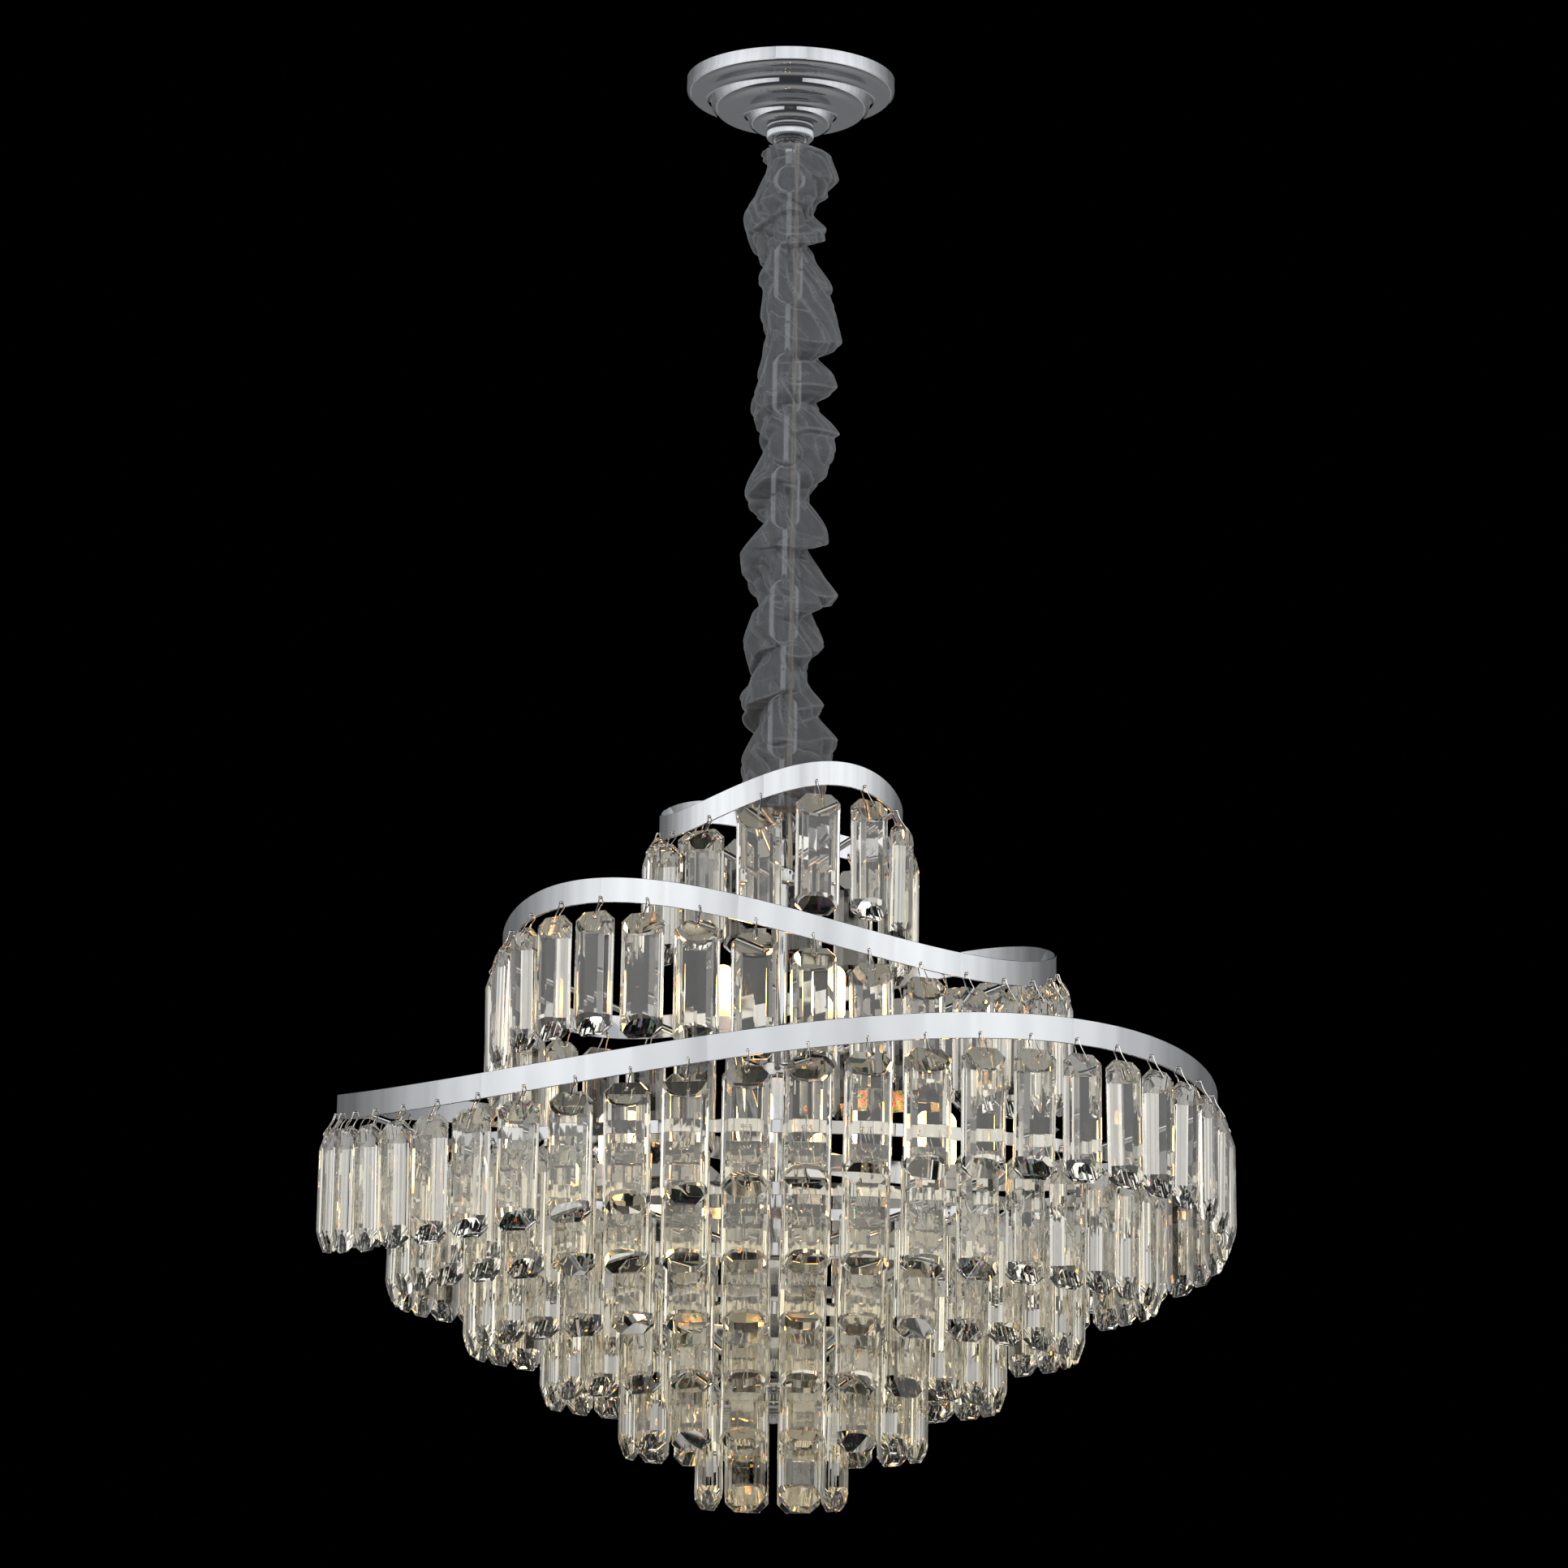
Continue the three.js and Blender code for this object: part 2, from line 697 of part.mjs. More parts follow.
// Faces of one crystal about its own middle: X across, Y inwards, Z up. Each face is a fan of
// triangles from its first corner. A hooked crystal has a wire hook that leans in to the band,
// and a bridged one has a small root for a bridge on both side edges.
function crystalFaces({ hooked, bridged }) {
  const side = crystalWidth / 2;
  const top = crystalLength / 2;
  const shoulder = top - crystalCornerCut;
  const ridge = side - crystalCornerCut;
  const flat = crystalFlatWidth / 2;
  const flatTop = top - crystalEndFacet;
  const through = crystalThickness / 2;
  const hook = hookWidth / 2;
  const hookBack = [0, hookThickness, top - (hookThickness * crystalEndFacet) / through];
  const faces = [];
  for (const face of [-1, 1]) {
    const y = face * through;
    faces.push([[-flat, y, -flatTop], [flat, y, -flatTop], [flat, y, flatTop], [-flat, y, flatTop]]);
    for (const hand of [-1, 1]) {
      const x = hand * side;
      const bevel = [[hand * flat, y, -flatTop], [x, 0, -shoulder]];
      if (bridged) {
        bevel.push([x, 0, shoulder - webHeight]);
        if (face > 0) {
          bevel.push(webRoot(hand));
        }
      }
      bevel.push([x, 0, shoulder], [hand * flat, y, flatTop]);
      const fanFrom = bridged && face > 0 ? 3 : 0;
      faces.push([...bevel.slice(fanFrom), ...bevel.slice(0, fanFrom)]);
      for (const end of [-1, 1]) {
        faces.push([[hand * ridge, 0, end * top], [x, 0, end * shoulder], [hand * flat, y, end * flatTop]]);
      }
    }
    for (const end of [-1, 1]) {
      const foot = [[flat, y, end * flatTop], [-flat, y, end * flatTop], [-ridge, 0, end * top]];
      const hookFeet = hooked && end > 0 ? [[-hook, 0, top], [hook, 0, top]] : [];
      const facet = [...foot, ...hookFeet, [ridge, 0, end * top]];
      if (hooked && end > 0 && face > 0) {
        facet.splice(4, 0, hookBack);
        faces.push([...facet.slice(4), ...facet.slice(0, 4)]);
      } else {
        faces.push(facet);
      }
    }
  }
  const shell = faces.map((corners) => turnedAway(corners, [0, 0, 0]));
  if (!hooked) {
    return shell;
  }
  const reach = crystalStandOut - bandThickness / 2 - seatGap;
  const tip = [0, reach, top + crystalDrop + hookHoleRise];
  const feet = [[-hook, 0, top], [hook, 0, top], hookBack];
  const inside = [0, reach / 2, (tip[2] + hookBack[2]) / 2];
  const sides = feet.map((foot, index) => [tip, foot, feet[(index + 1) % feet.length]]);
  return [...shell, ...sides.map((corners) => turnedAway(corners, inside))];
}

// Where a bridge meets the back bevel, on the given side
function webRoot(hand) {
  const side = crystalWidth / 2;
  const inwards = (webDepth * (side - crystalFlatWidth / 2)) / (crystalThickness / 2);
  return [hand * (side - inwards), webDepth, crystalLength / 2 - crystalCornerCut - webHeight / 2];
}

// Places a crystal's own point at an angle on its row, outside its band or ring
function placed(point, angle, radius, middle) {
  const [x, y, z] = point;
  const out = radius + crystalStandOut - y;
  return [
    x * Math.cos(angle) + out * Math.sin(angle),
    x * Math.sin(angle) - out * Math.cos(angle),
    z + middle,
  ];
}

// Triangles of one crystal's faces where it hangs
function crystalTriangles(faces, put) {
  const triangles = [];
  for (const face of faces) {
    for (let corner = 1; corner < face.length - 1; corner += 1) {
      triangles.push(put(face[0]), put(face[corner]), put(face[corner + 1]));
    }
  }
  return triangles;
}

// A row of crystals, each bridged to the next, all the way round
function makeRow({ radius, count, first, edgeAt }) {
  const triangles = [];
  const faces = crystalFaces({ hooked: true, bridged: true });
  const side = crystalWidth / 2;
  const shoulder = crystalLength / 2 - crystalCornerCut;
  const root = (hand) => [
    [hand * side, 0, shoulder - webHeight],
    [hand * side, 0, shoulder],
    webRoot(hand),
  ];
  const putAt = (number) => {
    const angle = first + (2 * Math.PI * number) / count;
    const middle = edgeAt(angle) - crystalDrop - crystalLength / 2;
    return (point) => placed(point, angle, radius, middle);
  };
  for (let index = 0; index < count; index += 1) {
    const here = putAt(index);
    const next = putAt(index + 1);
    triangles.push(...crystalTriangles(faces, here));
    const from = root(1).map(here);
    const to = root(-1).map(next);
    for (let edge = 0; edge < 3; edge += 1) {
      const after = (edge + 1) % 3;
      triangles.push(from[edge], to[edge], to[after]);
      triangles.push(from[edge], to[after], from[after]);
    }
  }
  return fromTriangles(triangles);
}

function makeSingleCrystal(angle, radius, edge) {
  const middle = edge - crystalDrop - crystalLength / 2;
  const put = (point) => placed(point, angle, radius, middle);
  return fromTriangles(crystalTriangles(crystalFaces({ hooked: false, bridged: false }), put));
}

// Bent wire from a hole in a ring out and down to just above a crystal
function makeHook(angle, radius, edge) {
  const outside = crystalStandOut + hookWire / 2;
  const holeHigh = edge + hookHoleRise;
  const bentWire = new THREE.Shape([
    new THREE.Vector2(0, holeHigh - hookWire / 2),
    new THREE.Vector2(outside - hookWire, holeHigh - hookWire / 2),
    new THREE.Vector2(outside - hookWire, edge - crystalDrop + hookGap),
    new THREE.Vector2(outside, edge - crystalDrop + hookGap),
    new THREE.Vector2(outside, holeHigh + hookWire / 2),
    new THREE.Vector2(0, holeHigh + hookWire / 2),
  ]);
  const geometry = new THREE.ExtrudeGeometry(bentWire, { depth: hookWire, bevelEnabled: false });
  geometry.translate(radius, 0, -hookWire / 2);
  geometry.rotateX(Math.PI / 2);
  return geometry.rotateZ(angle - Math.PI / 2);
}

function addBands() {
  bands.forEach((band) => {
    const { name, radius, crystals: count } = band;
    const first = radians(band.first);
    const edgeAt = bandEdge(band);
    const flats = count * band.flats;
    addPiece(`band_${name}`, stripRing({ radius, height: bandHeight, first, flats, edgeAt }), chrome);
    addPiece(`crystal_row_${name}`, makeRow({ radius, count, first, edgeAt }), crystal);
  });
}

function addCage() {
  cageCrystals.forEach((count, index) => {
    const radius = cageRadius(index);
    const low = cageRingLow(index);
    const first = Math.PI / count;
    const edgeAt = () => low;
    const flats = count * cageFlats[index];
    const ring = stripRing({ radius, height: cageRingHeight, first, flats, edgeAt });
    const innermost = index === cageCrystals.length - 1;
    if (!innermost) {
      addPiece(`cage_ring_${index + 1}`, ring, chrome);
      addPiece(`crystal_row_cage_${index + 1}`, makeRow({ radius, count, first, edgeAt }), crystal);
      return;
    }
    const angles = Array.from({ length: count }, (_, number) => first + (2 * Math.PI * number) / count);
    const hooks = angles.map((angle) => makeHook(angle, radius, low));
    addPiece(`cage_ring_${index + 1}`, shape(ring, { joined: hooks }), chrome);
    angles.forEach((angle, number) => {
      addPiece(`lowest_crystal_${number + 1}`, makeSingleCrystal(angle, radius, low), crystal);
    });
  });
}

// Lamps

function makeHolder() {
  const body = post(holderRadius, 0, holderHeight, holderSides);
  const socket = post(socketRadius, holderHeight - socketDepth, holderHeight + cutOverrun, lampSides);
  return shape(body, { cut: [socket] });
}

function makeBulb() {
  const bottom = holderHeight - socketDepth + seatGap;
  const outline = bulbOutlineShares.map(([wide, high]) => [wide * bulbRadius, holderHeight + high * bulbHeight]);
  const points = [
    [0, bottom],
    [bulbBaseRadius, bottom],
    [bulbBaseRadius, holderHeight + seatGap],
    ...outline,
    [0, holderHeight + bulbHeight],
  ];
  return turned(points, lampSides);
}

function addLamps() {
  const seats = [];
  const collect = (band, hubDepth, distance, rods) => {
    const ends = bandRodEnds(band, hubDepth);
    for (const index of rods) {
      const { angle, radius, height } = ends[index];
      const { top } = padHeights(hubDepth, radius, height, distance);
      seats.push(polar(angle, distance, top + seatGap));
    }
  };
  collect(bands[1], middleHubDepth, upperLampRadius, [1, 3]);
  collect(bands[2], lowerHubDepth, lowerLampRadius, [0, 1, 2, 3]);
  seats.forEach(([x, y, z], index) => {
    addPiece(`lampholder_${index + 1}`, makeHolder().translate(x, y, z), ceramic);
    addPiece(`bulb_${index + 1}`, makeBulb().translate(x, y, z), lampGlass);
  });
}

addPiece('ceiling_plate', makeCeilingPlate(), steel);
addPiece('canopy_loop', makeCanopyLoop(), chrome);
addPiece('canopy', makeCanopy(), chrome);
addPiece('canopy_collar', makeCanopyCollar(), chrome);
addPiece('terminal_block', makeTerminalBlock(), terminalPlastic);
addChain();
addPiece('supply_flex', makeFlex(), flexPlastic);
addPiece('chain_sleeve', makeSleeve(), organza);
addPiece('frame_top_loop', makeFrameTopLoop(), chrome);
addPiece('stem_tube', makeStemTube(), chrome);
addPiece('upper_spider', makeSpider({
  hubDepth: upperHubDepth,
  rodEnds: bandRodEnds(bands[0], upperHubDepth),
}), chrome);
addPiece('middle_spider', makeSpider({
  hubDepth: middleHubDepth,
  rodEnds: bandRodEnds(bands[1], middleHubDepth),
  padRods: [1, 3],
  padDistance: upperLampRadius,
}), chrome);
addPiece('lower_spider', makeSpider({
  hubDepth: lowerHubDepth,
  rodEnds: bandRodEnds(bands[2], lowerHubDepth),
  padRods: [0, 1, 2, 3],
  padDistance: lowerLampRadius,
}), chrome);
addPiece('cage_spider', makeSpider({ hubDepth: cageHubDepth, rodEnds: cageRodEnds() }), chrome);
addPiece('stem_finial', makeFinial(), chrome);
addBands();
addCage();
addLamps();

export default chandelier;
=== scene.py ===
import math
import random

import bmesh
import bpy
from mathutils import Matrix, Vector, noise


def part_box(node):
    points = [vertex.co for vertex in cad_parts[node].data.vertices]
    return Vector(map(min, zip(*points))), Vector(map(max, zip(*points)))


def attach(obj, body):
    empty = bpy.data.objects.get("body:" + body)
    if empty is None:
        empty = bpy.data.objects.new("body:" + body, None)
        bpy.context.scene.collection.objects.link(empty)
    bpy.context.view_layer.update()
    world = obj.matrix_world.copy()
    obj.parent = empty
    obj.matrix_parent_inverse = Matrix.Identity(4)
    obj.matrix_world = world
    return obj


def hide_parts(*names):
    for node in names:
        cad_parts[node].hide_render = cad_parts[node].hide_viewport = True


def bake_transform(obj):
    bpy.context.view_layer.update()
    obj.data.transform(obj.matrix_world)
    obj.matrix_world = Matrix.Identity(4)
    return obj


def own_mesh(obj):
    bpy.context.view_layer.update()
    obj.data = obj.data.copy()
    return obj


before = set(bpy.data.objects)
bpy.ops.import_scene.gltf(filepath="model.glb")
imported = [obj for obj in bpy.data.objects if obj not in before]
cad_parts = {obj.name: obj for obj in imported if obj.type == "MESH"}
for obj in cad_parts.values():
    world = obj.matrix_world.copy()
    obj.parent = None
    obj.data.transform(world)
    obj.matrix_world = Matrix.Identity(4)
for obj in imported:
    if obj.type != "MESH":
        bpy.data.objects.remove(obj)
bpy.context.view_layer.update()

# Shapes are written in millimetres in the CAD model's frame, and add_piece turns them into metres.
# Angles round the Z axis start at the front (-Y) and grow towards the right (+X).
METRE = 1000

# Camera, from the photograph's perspective
IMAGE_SIZE = 1932
FOCAL_PIXELS = 6300
SENSOR_WIDTH = 36
CAMERA_PLACE = (0.0017, -3.614, -1.249)
CAMERA_PITCH = 11.23
CAMERA_ROLL = 0.75

# Studio, in metres: soft panels in a ring round the object, by angle from the front and radiance
PANEL_EDGES = [
    (16.5, 1.35), (46.5, 1.9), (76.5, 1.7), (96.5, 1.1), (116.5, 0.6), (136.5, 0.28), (166.5, 0.12),
]
PANEL_DISTANCE = 3
PANEL_HEIGHT = 0.35
PANEL_TALL = 2.5
PANEL_FADE = 0.3  # how much dimmer its upper and lower edges are
PANEL_RIPPLES = 1.6
PANEL_RIPPLE_RANGE = (0.84, 1.04)
FRONT_PANEL_RADIANCE = 1.7
FRONT_PANEL_HEIGHT = 0.55
FRONT_PANEL_WIDTH = 1.777
BOUNCE_RADIANCE = 0.19
BOUNCE_PLACE = (0, 8, -2.3)
BOUNCE_SIZE = (24, 20)
COOL_WHITE = (0.975, 0.99, 1.01)
WORLD_LIGHT = (0.1, 0.1, 0.105)
FLOOR_HEIGHT = -2.4
FLOOR_REACH = 12

# Canopy: radius, height and rounding of the corners of its outer side, from the rim downwards
CANOPY_WALL = 1.2
CANOPY_CORNERS = [
    (77, -0.5, 0.3),
    (77, -13.8, 7.5),
    (60, -13.6, 4.8),
    (56.5, -26.8, 7),
    (32.5, -26.2, 4.8),
    (29.5, -38.2, 6),
    (13.5, -38, 0.3),
]
COLLAR_RADIUS = 17.5
COLLAR_TOP = -38.3
COLLAR_BOTTOM = -46.3
COLLAR_TEETH = 64
COLLAR_TOOTH_DEPTH = 0.45
NECK_RADIUS = 13
NECK_BORE = 10.8
NECK_TOP = -30.3
NECK_BOTTOM = -50.3
THREAD_PITCH = 1.5
THREAD_DEPTH = 0.45
SHANK_RADIUS = 4
LOOP_RADIUS = 10
LOOP_WIRE = 2.25
UPPER_LOOP_HEIGHT = -76.55
LOWER_LOOP_HEIGHT = -561.45
FRAME_NECK_RADIUS = 6
FRAME_NECK_TOP = -569.2
FRAME_NECK_BOTTOM = -593.2

# Chain and supply flex
LINK_COUNT = 11
LINK_WIRE = 2.25
LINK_BEND = 8.75
LINK_HALF_STRAIGHT = 15
WELD_RISES = (-2.6, -1.6, 0, 1.6, 2.6)
WELD_SWELL = 0.35
WIRE_SIDES = 14
FLEX_RADIUS = 2.5
FLEX_OFFSET = 5.3
FLEX_ENTRY = -10
FLEX_END = -594.7
CORE_RADIUS = 0.85
CORE_SPREAD = 1.05
CORE_TWIST = 25  # height in which the pair turns by one radian

# Bands: radius, depth of the upper edge, wave, angle of a crest, crystals and angle of the first
BAND_HEIGHT = 17.5
BAND_THICKNESS = 1.6
BANDS = {
    "top": dict(radius=87, depth=546, wave=16, crest=29, count=14, first=16.2),
    "middle": dict(radius=197.5, depth=653.5, wave=25, crest=-46, count=32, first=6.6),
    "bottom": dict(radius=311.5, depth=757.6, wave=21.7, crest=40, count=50, first=3.6),
}

# Cage rings, from the outermost
CAGE_INNER_RADIUS = 42
CAGE_STEP_OUT = 54.8
CAGE_STEP_UP = 34.8
CAGE_INNER_DEPTH = 957
CAGE_RING_HEIGHT = 9
CAGE_COUNTS = [42, 34, 26, 16, 8]

# Crystals
CRYSTAL_LENGTH = 86
CRYSTAL_HALF_SECTION = [(16, 1.1), (14.9, 3), (12.3, 4.9), (8.4, 6.15), (0, 6.5)]  # across and through
CRYSTAL_CORNER = 7
CRYSTAL_END_FACET = 15.5
CRYSTAL_END_THICKNESS = 1  # half of it
CRYSTAL_DROP = 7
CRYSTAL_STAND_OUT = 6
CRYSTAL_HOLE_DEPTH = 5
CRYSTAL_HOLE_RADIUS = 1
CRYSTAL_CHAMFER = 0.22
CRYSTAL_LEAST_END_AREA = 40
CRYSTAL_DRILL_SIDES = 10
YAW_SPREAD = 1.8  # degrees, as the next two
LEAN_SPREAD = 0.5
TILT_SPREAD = 0.6
# Glass colours, varying at random between the two: their amber wash is painted warm light from the lamps
GLASS_TINTS_WITH_PAINTED_GLOW = ((0.987, 0.945, 0.835), (0.998, 0.968, 0.88))
HOOK_CELL = 2.1  # half the width of the strip's face round a hole
HOOK_HOLE_RISE = 3.5
HOOK_HOLE_RADIUS = 1.1
HOOK_WIRE = 0.45
HOOK_HEAD = 1.15

# Frame
STEM_RADIUS = 6
STEM_WALL = 1.5
STEM_TOP = -593.5
STEM_BOTTOM = -974
HUB_RADIUS = 12
HUB_HEIGHT = 10
HUB_DEPTHS = {"top": 600, "middle": 740, "bottom": 870}
ROD_RADIUS = 2.5
PAD_RADIUS = 8
HOLDER_RADIUS = 10
HOLDER_HEIGHT = 18
HOLDER_GROOVE = 0.9
HOLDER_BORE_DEPTH = 10
BULB_RADIUS = 7.5
BULB_HEIGHT = 38
BULB_FOOT = 6
COIL_RADIUS = 0.9
COIL_WIRE = 0.4
COIL_MARGIN = 11
COIL_TURNS = 7
COIL_STEPS = 84
LAMP_COUNT = 6
UPPER_LAMP_RADIUS = 40
LOWER_LAMP_RADIUS = 120

# Sleeve: a strip of organza lapped at the back, gathered along the chain
SLEEVE_TOP = -52.6
SLEEVE_BOTTOM = -555.6
SLEEVE_JOINT = -111
SLEEVE_CUT_WIDTH = 200
SLEEVE_CUT_LENGTH = 590
SLEEVE_LAP = 14  # degrees
SLEEVE_LAP_RISE = 0.8
SLEEVE_COLUMNS = 150
SLEEVE_ROWS = 500
SLEEVE_GATHER = 5
SLEEVE_TIED_RADIUS = 13.4
SLEEVE_PLEAT = 3.4
SLEEVE_PLEATS = 16
SLEEVE_CORE = 12.4
SLEEVE_DROOP_SHARE = 0.42
SLEEVE_MEAN_REACH = 23
SLEEVE_SLANT = 10
SLEEVE_DRIFT = 9
SLEEVE_DRIFT_LENGTH = 45
SLEEVE_FULLNESS = 1.5
SLEEVE_SHARPEST_TURN = 0.7
CREASE_LENGTH = 34
CREASE_SHARPNESS = 2.2
CREASES = [(1, (0, 0, 0), 4), (1.7, (5, 3, 1), 1.6)]  # fineness, shift and depth

# Turning points of the sleeve's two sides: height and reach from the axis
SLEEVE_RIGHT = [
    (-52, 31), (-71, 35), (-87, 27), (-98, 18), (-108, 16), (-113, 26), (-122, 25), (-130, 11),
    (-138, 18), (-156, 31), (-172, 33), (-194, 39), (-202, 33), (-214, 20), (-221, 33), (-229, 35),
    (-237, 30), (-248, 19), (-264, 37), (-269, 33), (-278, 35), (-297, 29), (-320, 15), (-341, 30),
    (-349, 30), (-354, 14), (-362, 15), (-384, 38), (-394, 33), (-404, 17), (-426, 28), (-442, 16),
    (-459, 16), (-470, 28), (-481, 25), (-492, 39), (-513, 34), (-535, 30), (-556, 26),
]
SLEEVE_LEFT = [
    (-52, 23), (-61, 15), (-70, 15), (-82, 19), (-93, 24), (-103, 32), (-121, 28), (-127, 22),
    (-150, 19), (-158, 21), (-166, 17), (-185, 19), (-203, 17), (-216, 17), (-232, 21), (-250, 25),
    (-260, 23), (-268, 16), (-277, 18), (-287, 14), (-312, 28), (-320, 28), (-336, 13), (-347, 12),
    (-361, 32), (-375, 29), (-386, 20), (-405, 15), (-411, 23), (-427, 28), (-446, 23), (-449, 15),
    (-456, 23), (-465, 30), (-477, 30), (-484, 14), (-491, 16), (-515, 29), (-530, 27), (-556, 24),
]


# Geometry helpers

class Form:
    """Points and faces that grow as shapes are added."""

    def __init__(self):
        self.points = []
        self.faces = []

    def add(self, points, faces, matrix=None):
        start = len(self.points)
        if matrix is not None:
            points = [matrix @ Vector(point) for point in points]
        self.points += [Vector(point) for point in points]
        self.faces += [[start + index for index in face] for face in faces]
        return self


def polar(angle, radius, height):
    return Vector((radius * math.sin(angle), -radius * math.cos(angle), height))


def rounded(corners, steps=8):
    """Outline through corners given as radius, height and rounding, with an arc at each."""
    outline = []
    for index, (radius, height, rounding) in enumerate(corners):
        here = Vector((radius, height))
        if index in (0, len(corners) - 1) or rounding == 0:
            outline.append(here)
            continue
        before = Vector(corners[index - 1][:2]) - here
        after = Vector(corners[index + 1][:2]) - here
        reach = min(rounding, before.length * 0.49, after.length * 0.49)
        start = here + before.normalized() * reach
        end = here + after.normalized() * reach
        for step in range(steps + 1):
            way = step / steps
            outline.append((1 - way) ** 2 * start + 2 * way * (1 - way) * here + way ** 2 * end)
    return [(point[0], point[1]) for point in outline]


def turned(outline, sides, closed=False, radius_at=None):
    """Surface of revolution of points of radius and height; closed joins the last to the first."""
    points, faces = [], []
    count = len(outline)
    for side in range(sides):
        angle = 2 * math.pi * side / sides
        for radius, height in outline:
            if radius_at is not None:
                radius = radius_at(angle, radius, height)
            points.append(polar(angle, radius, height))
    for side in range(sides):
        here, after = side * count, (side + 1) % sides * count
        for index in range(count if closed else count - 1):
            up = (index + 1) % count
            faces.append([here + index, after + index, after + up, here + up])
    if not closed:
        faces.append([side * count for side in range(sides)][::-1])
        faces.append([side * count + count - 1 for side in range(sides)])
    return points, faces


def tube(path, radius, sides=12, closed=False, radius_at=None):
    """Round tube along a path, with flat ends unless it is closed."""
    path = [Vector(point) for point in path]
    count = len(path)
    points, faces = [], []
    normal = None
    for index, point in enumerate(path):
        if closed:
            along = path[(index + 1) % count] - path[index - 1]
        else:
            along = path[min(index + 1, count - 1)] - path[max(index - 1, 0)]
        along.normalize()
        if normal is None:
            normal = along.orthogonal().normalized()
        normal = (normal - along * normal.dot(along)).normalized()
        across = along.cross(normal)
        wire = radius if radius_at is None else radius_at(index / max(count - 1, 1))
        for side in range(sides):
            angle = 2 * math.pi * side / sides
            points.append(point + (normal * math.cos(angle) + across * math.sin(angle)) * wire)
    for ring in range(count if closed else count - 1):
        here, after = ring * sides, (ring + 1) % count * sides
        for side in range(sides):
            up = (side + 1) % sides
            faces.append([here + side, here + up, after + up, after + side])
    if not closed:
        faces.append(list(range(sides))[::-1])
        faces.append([(count - 1) * sides + side for side in range(sides)])
    return points, faces


def smooth_path(points, steps):
    """Catmull-Rom curve through points, with some steps between each two."""
    points = [Vector(point) for point in points]
    ends = [2 * points[0] - points[1], *points, 2 * points[-1] - points[-2]]
    path = []
    for index in range(1, len(ends) - 2):
        a, b, c, d = ends[index - 1:index + 3]
        for step in range(steps):
            t = step / steps
            path.append(0.5 * (2 * b + (c - a) * t + (2 * a - 5 * b + 4 * c - d) * t ** 2
                               + (3 * b - a - 3 * c + d) * t ** 3))
    return path + [points[-1]]


def ball(radius, rings=5, sides=8):
    turns = [math.pi * (ring + 0.5) / rings for ring in range(rings)]
    return turned([(radius * math.sin(turn), -radius * math.cos(turn)) for turn in turns], sides)


def new_object(name, data):
    made = bpy.data.objects.new(name, data)
    bpy.context.scene.collection.objects.link(made)
    return made


def add_piece(name, form, material, body, replaced=(), smooth_angle=32):
    """Makes an object of a form, in metres, with its material, and lets it ride on its body, if given."""
    mesh = bpy.data.meshes.new(name)
    mesh.from_pydata([point / METRE for point in form.points], [], form.faces)
    mesh.validate()
    outwards = bmesh.new()
    outwards.from_mesh(mesh)
    bmesh.ops.recalc_face_normals(outwards, faces=outwards.faces)
    outwards.to_mesh(mesh)
    outwards.free()
    mesh.shade_smooth()
    mesh.set_sharp_from_angle(angle=math.radians(smooth_angle))
    mesh.materials.append(material)
    piece = new_object(name, mesh)
    if body is not None:
        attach(piece, body)
    if replaced:
        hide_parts(*replaced)
    return piece


# Materials

def new_material(name, values):
    material = bpy.data.materials.new(name)
    material.use_nodes = True
    for socket, value in values.items():
        material.node_tree.nodes["Principled BSDF"].inputs[socket].default_value = value
    return material, material.node_tree


def add_node(tree, kind, inputs=None, **settings):
    node = tree.nodes.new("ShaderNode" + kind)
    for setting, value in settings.items():
        setattr(node, setting, value)
    for socket, value in (inputs or {}).items():
        if isinstance(value, bpy.types.NodeSocket):
            tree.links.new(value, node.inputs[socket])
        else:
            node.inputs[socket].default_value = value
    return node


def calculated(tree, operation, *values, **settings):
    return add_node(tree, "Math", dict(enumerate(values)), operation=operation, **settings).outputs[0]


def noise_of(tree, scale, detail=3, stretch=(1, 1, 1), source="Object"):
    """Noise over the piece's own coordinates, stretched by a scale for each axis."""
    coordinates = add_node(tree, "TexCoord").outputs[source]
    mapping = add_node(tree, "Mapping", {"Vector": coordinates, "Scale": stretch})
    texture = add_node(tree, "TexNoise", {"Vector": mapping.outputs[0], "Scale": scale, "Detail": detail})
    return texture.outputs["Fac"]


def ranged(tree, value, low, high, start=0.3, end=0.7):
    """A value's stretch from start to end, spread over low to high."""
    limits = {"From Min": start, "From Max": end, "To Min": low, "To Max": high}
    return add_node(tree, "MapRange", {"Value": value, **limits}).outputs["Result"]


def mixed_colour(tree, factor, dark, light):
    mix = add_node(tree, "Mix", data_type="RGBA")
    tree.links.new(factor, mix.inputs["Factor"])
    mix.inputs["A"].default_value = (*dark, 1)
    mix.inputs["B"].default_value = (*light, 1)
    return mix.outputs["Result"]


def link(tree, output, socket):
    tree.links.new(output, tree.nodes["Principled BSDF"].inputs[socket])


def bumped(tree, height, strength, distance):
    bump = add_node(tree, "Bump", {"Height": height, "Strength": strength, "Distance": distance})
    link(tree, bump.outputs["Normal"], "Normal")


def patchy_material(name, values, patches, colours, roughness=None, bumps=None):
    """Material whose colour and roughness follow one noise and whose bumps, if any, follow another."""
    material, tree = new_material(name, values)
    factor = noise_of(tree, *patches)
    link(tree, mixed_colour(tree, factor, *colours), "Base Color")
    if roughness:
        link(tree, ranged(tree, factor, *roughness), "Roughness")
    if bumps:
        grain, strength, distance = bumps
        bumped(tree, noise_of(tree, *grain), strength, distance)
    return material


def chrome_material():
    colours = ((0.44, 0.45, 0.465), (0.5, 0.51, 0.52))
    bumps = ((120, 2), 0.04, 0.0002)
    return patchy_material("chrome", {"Metallic": 1}, (35,), colours, (0.02, 0.05), bumps)


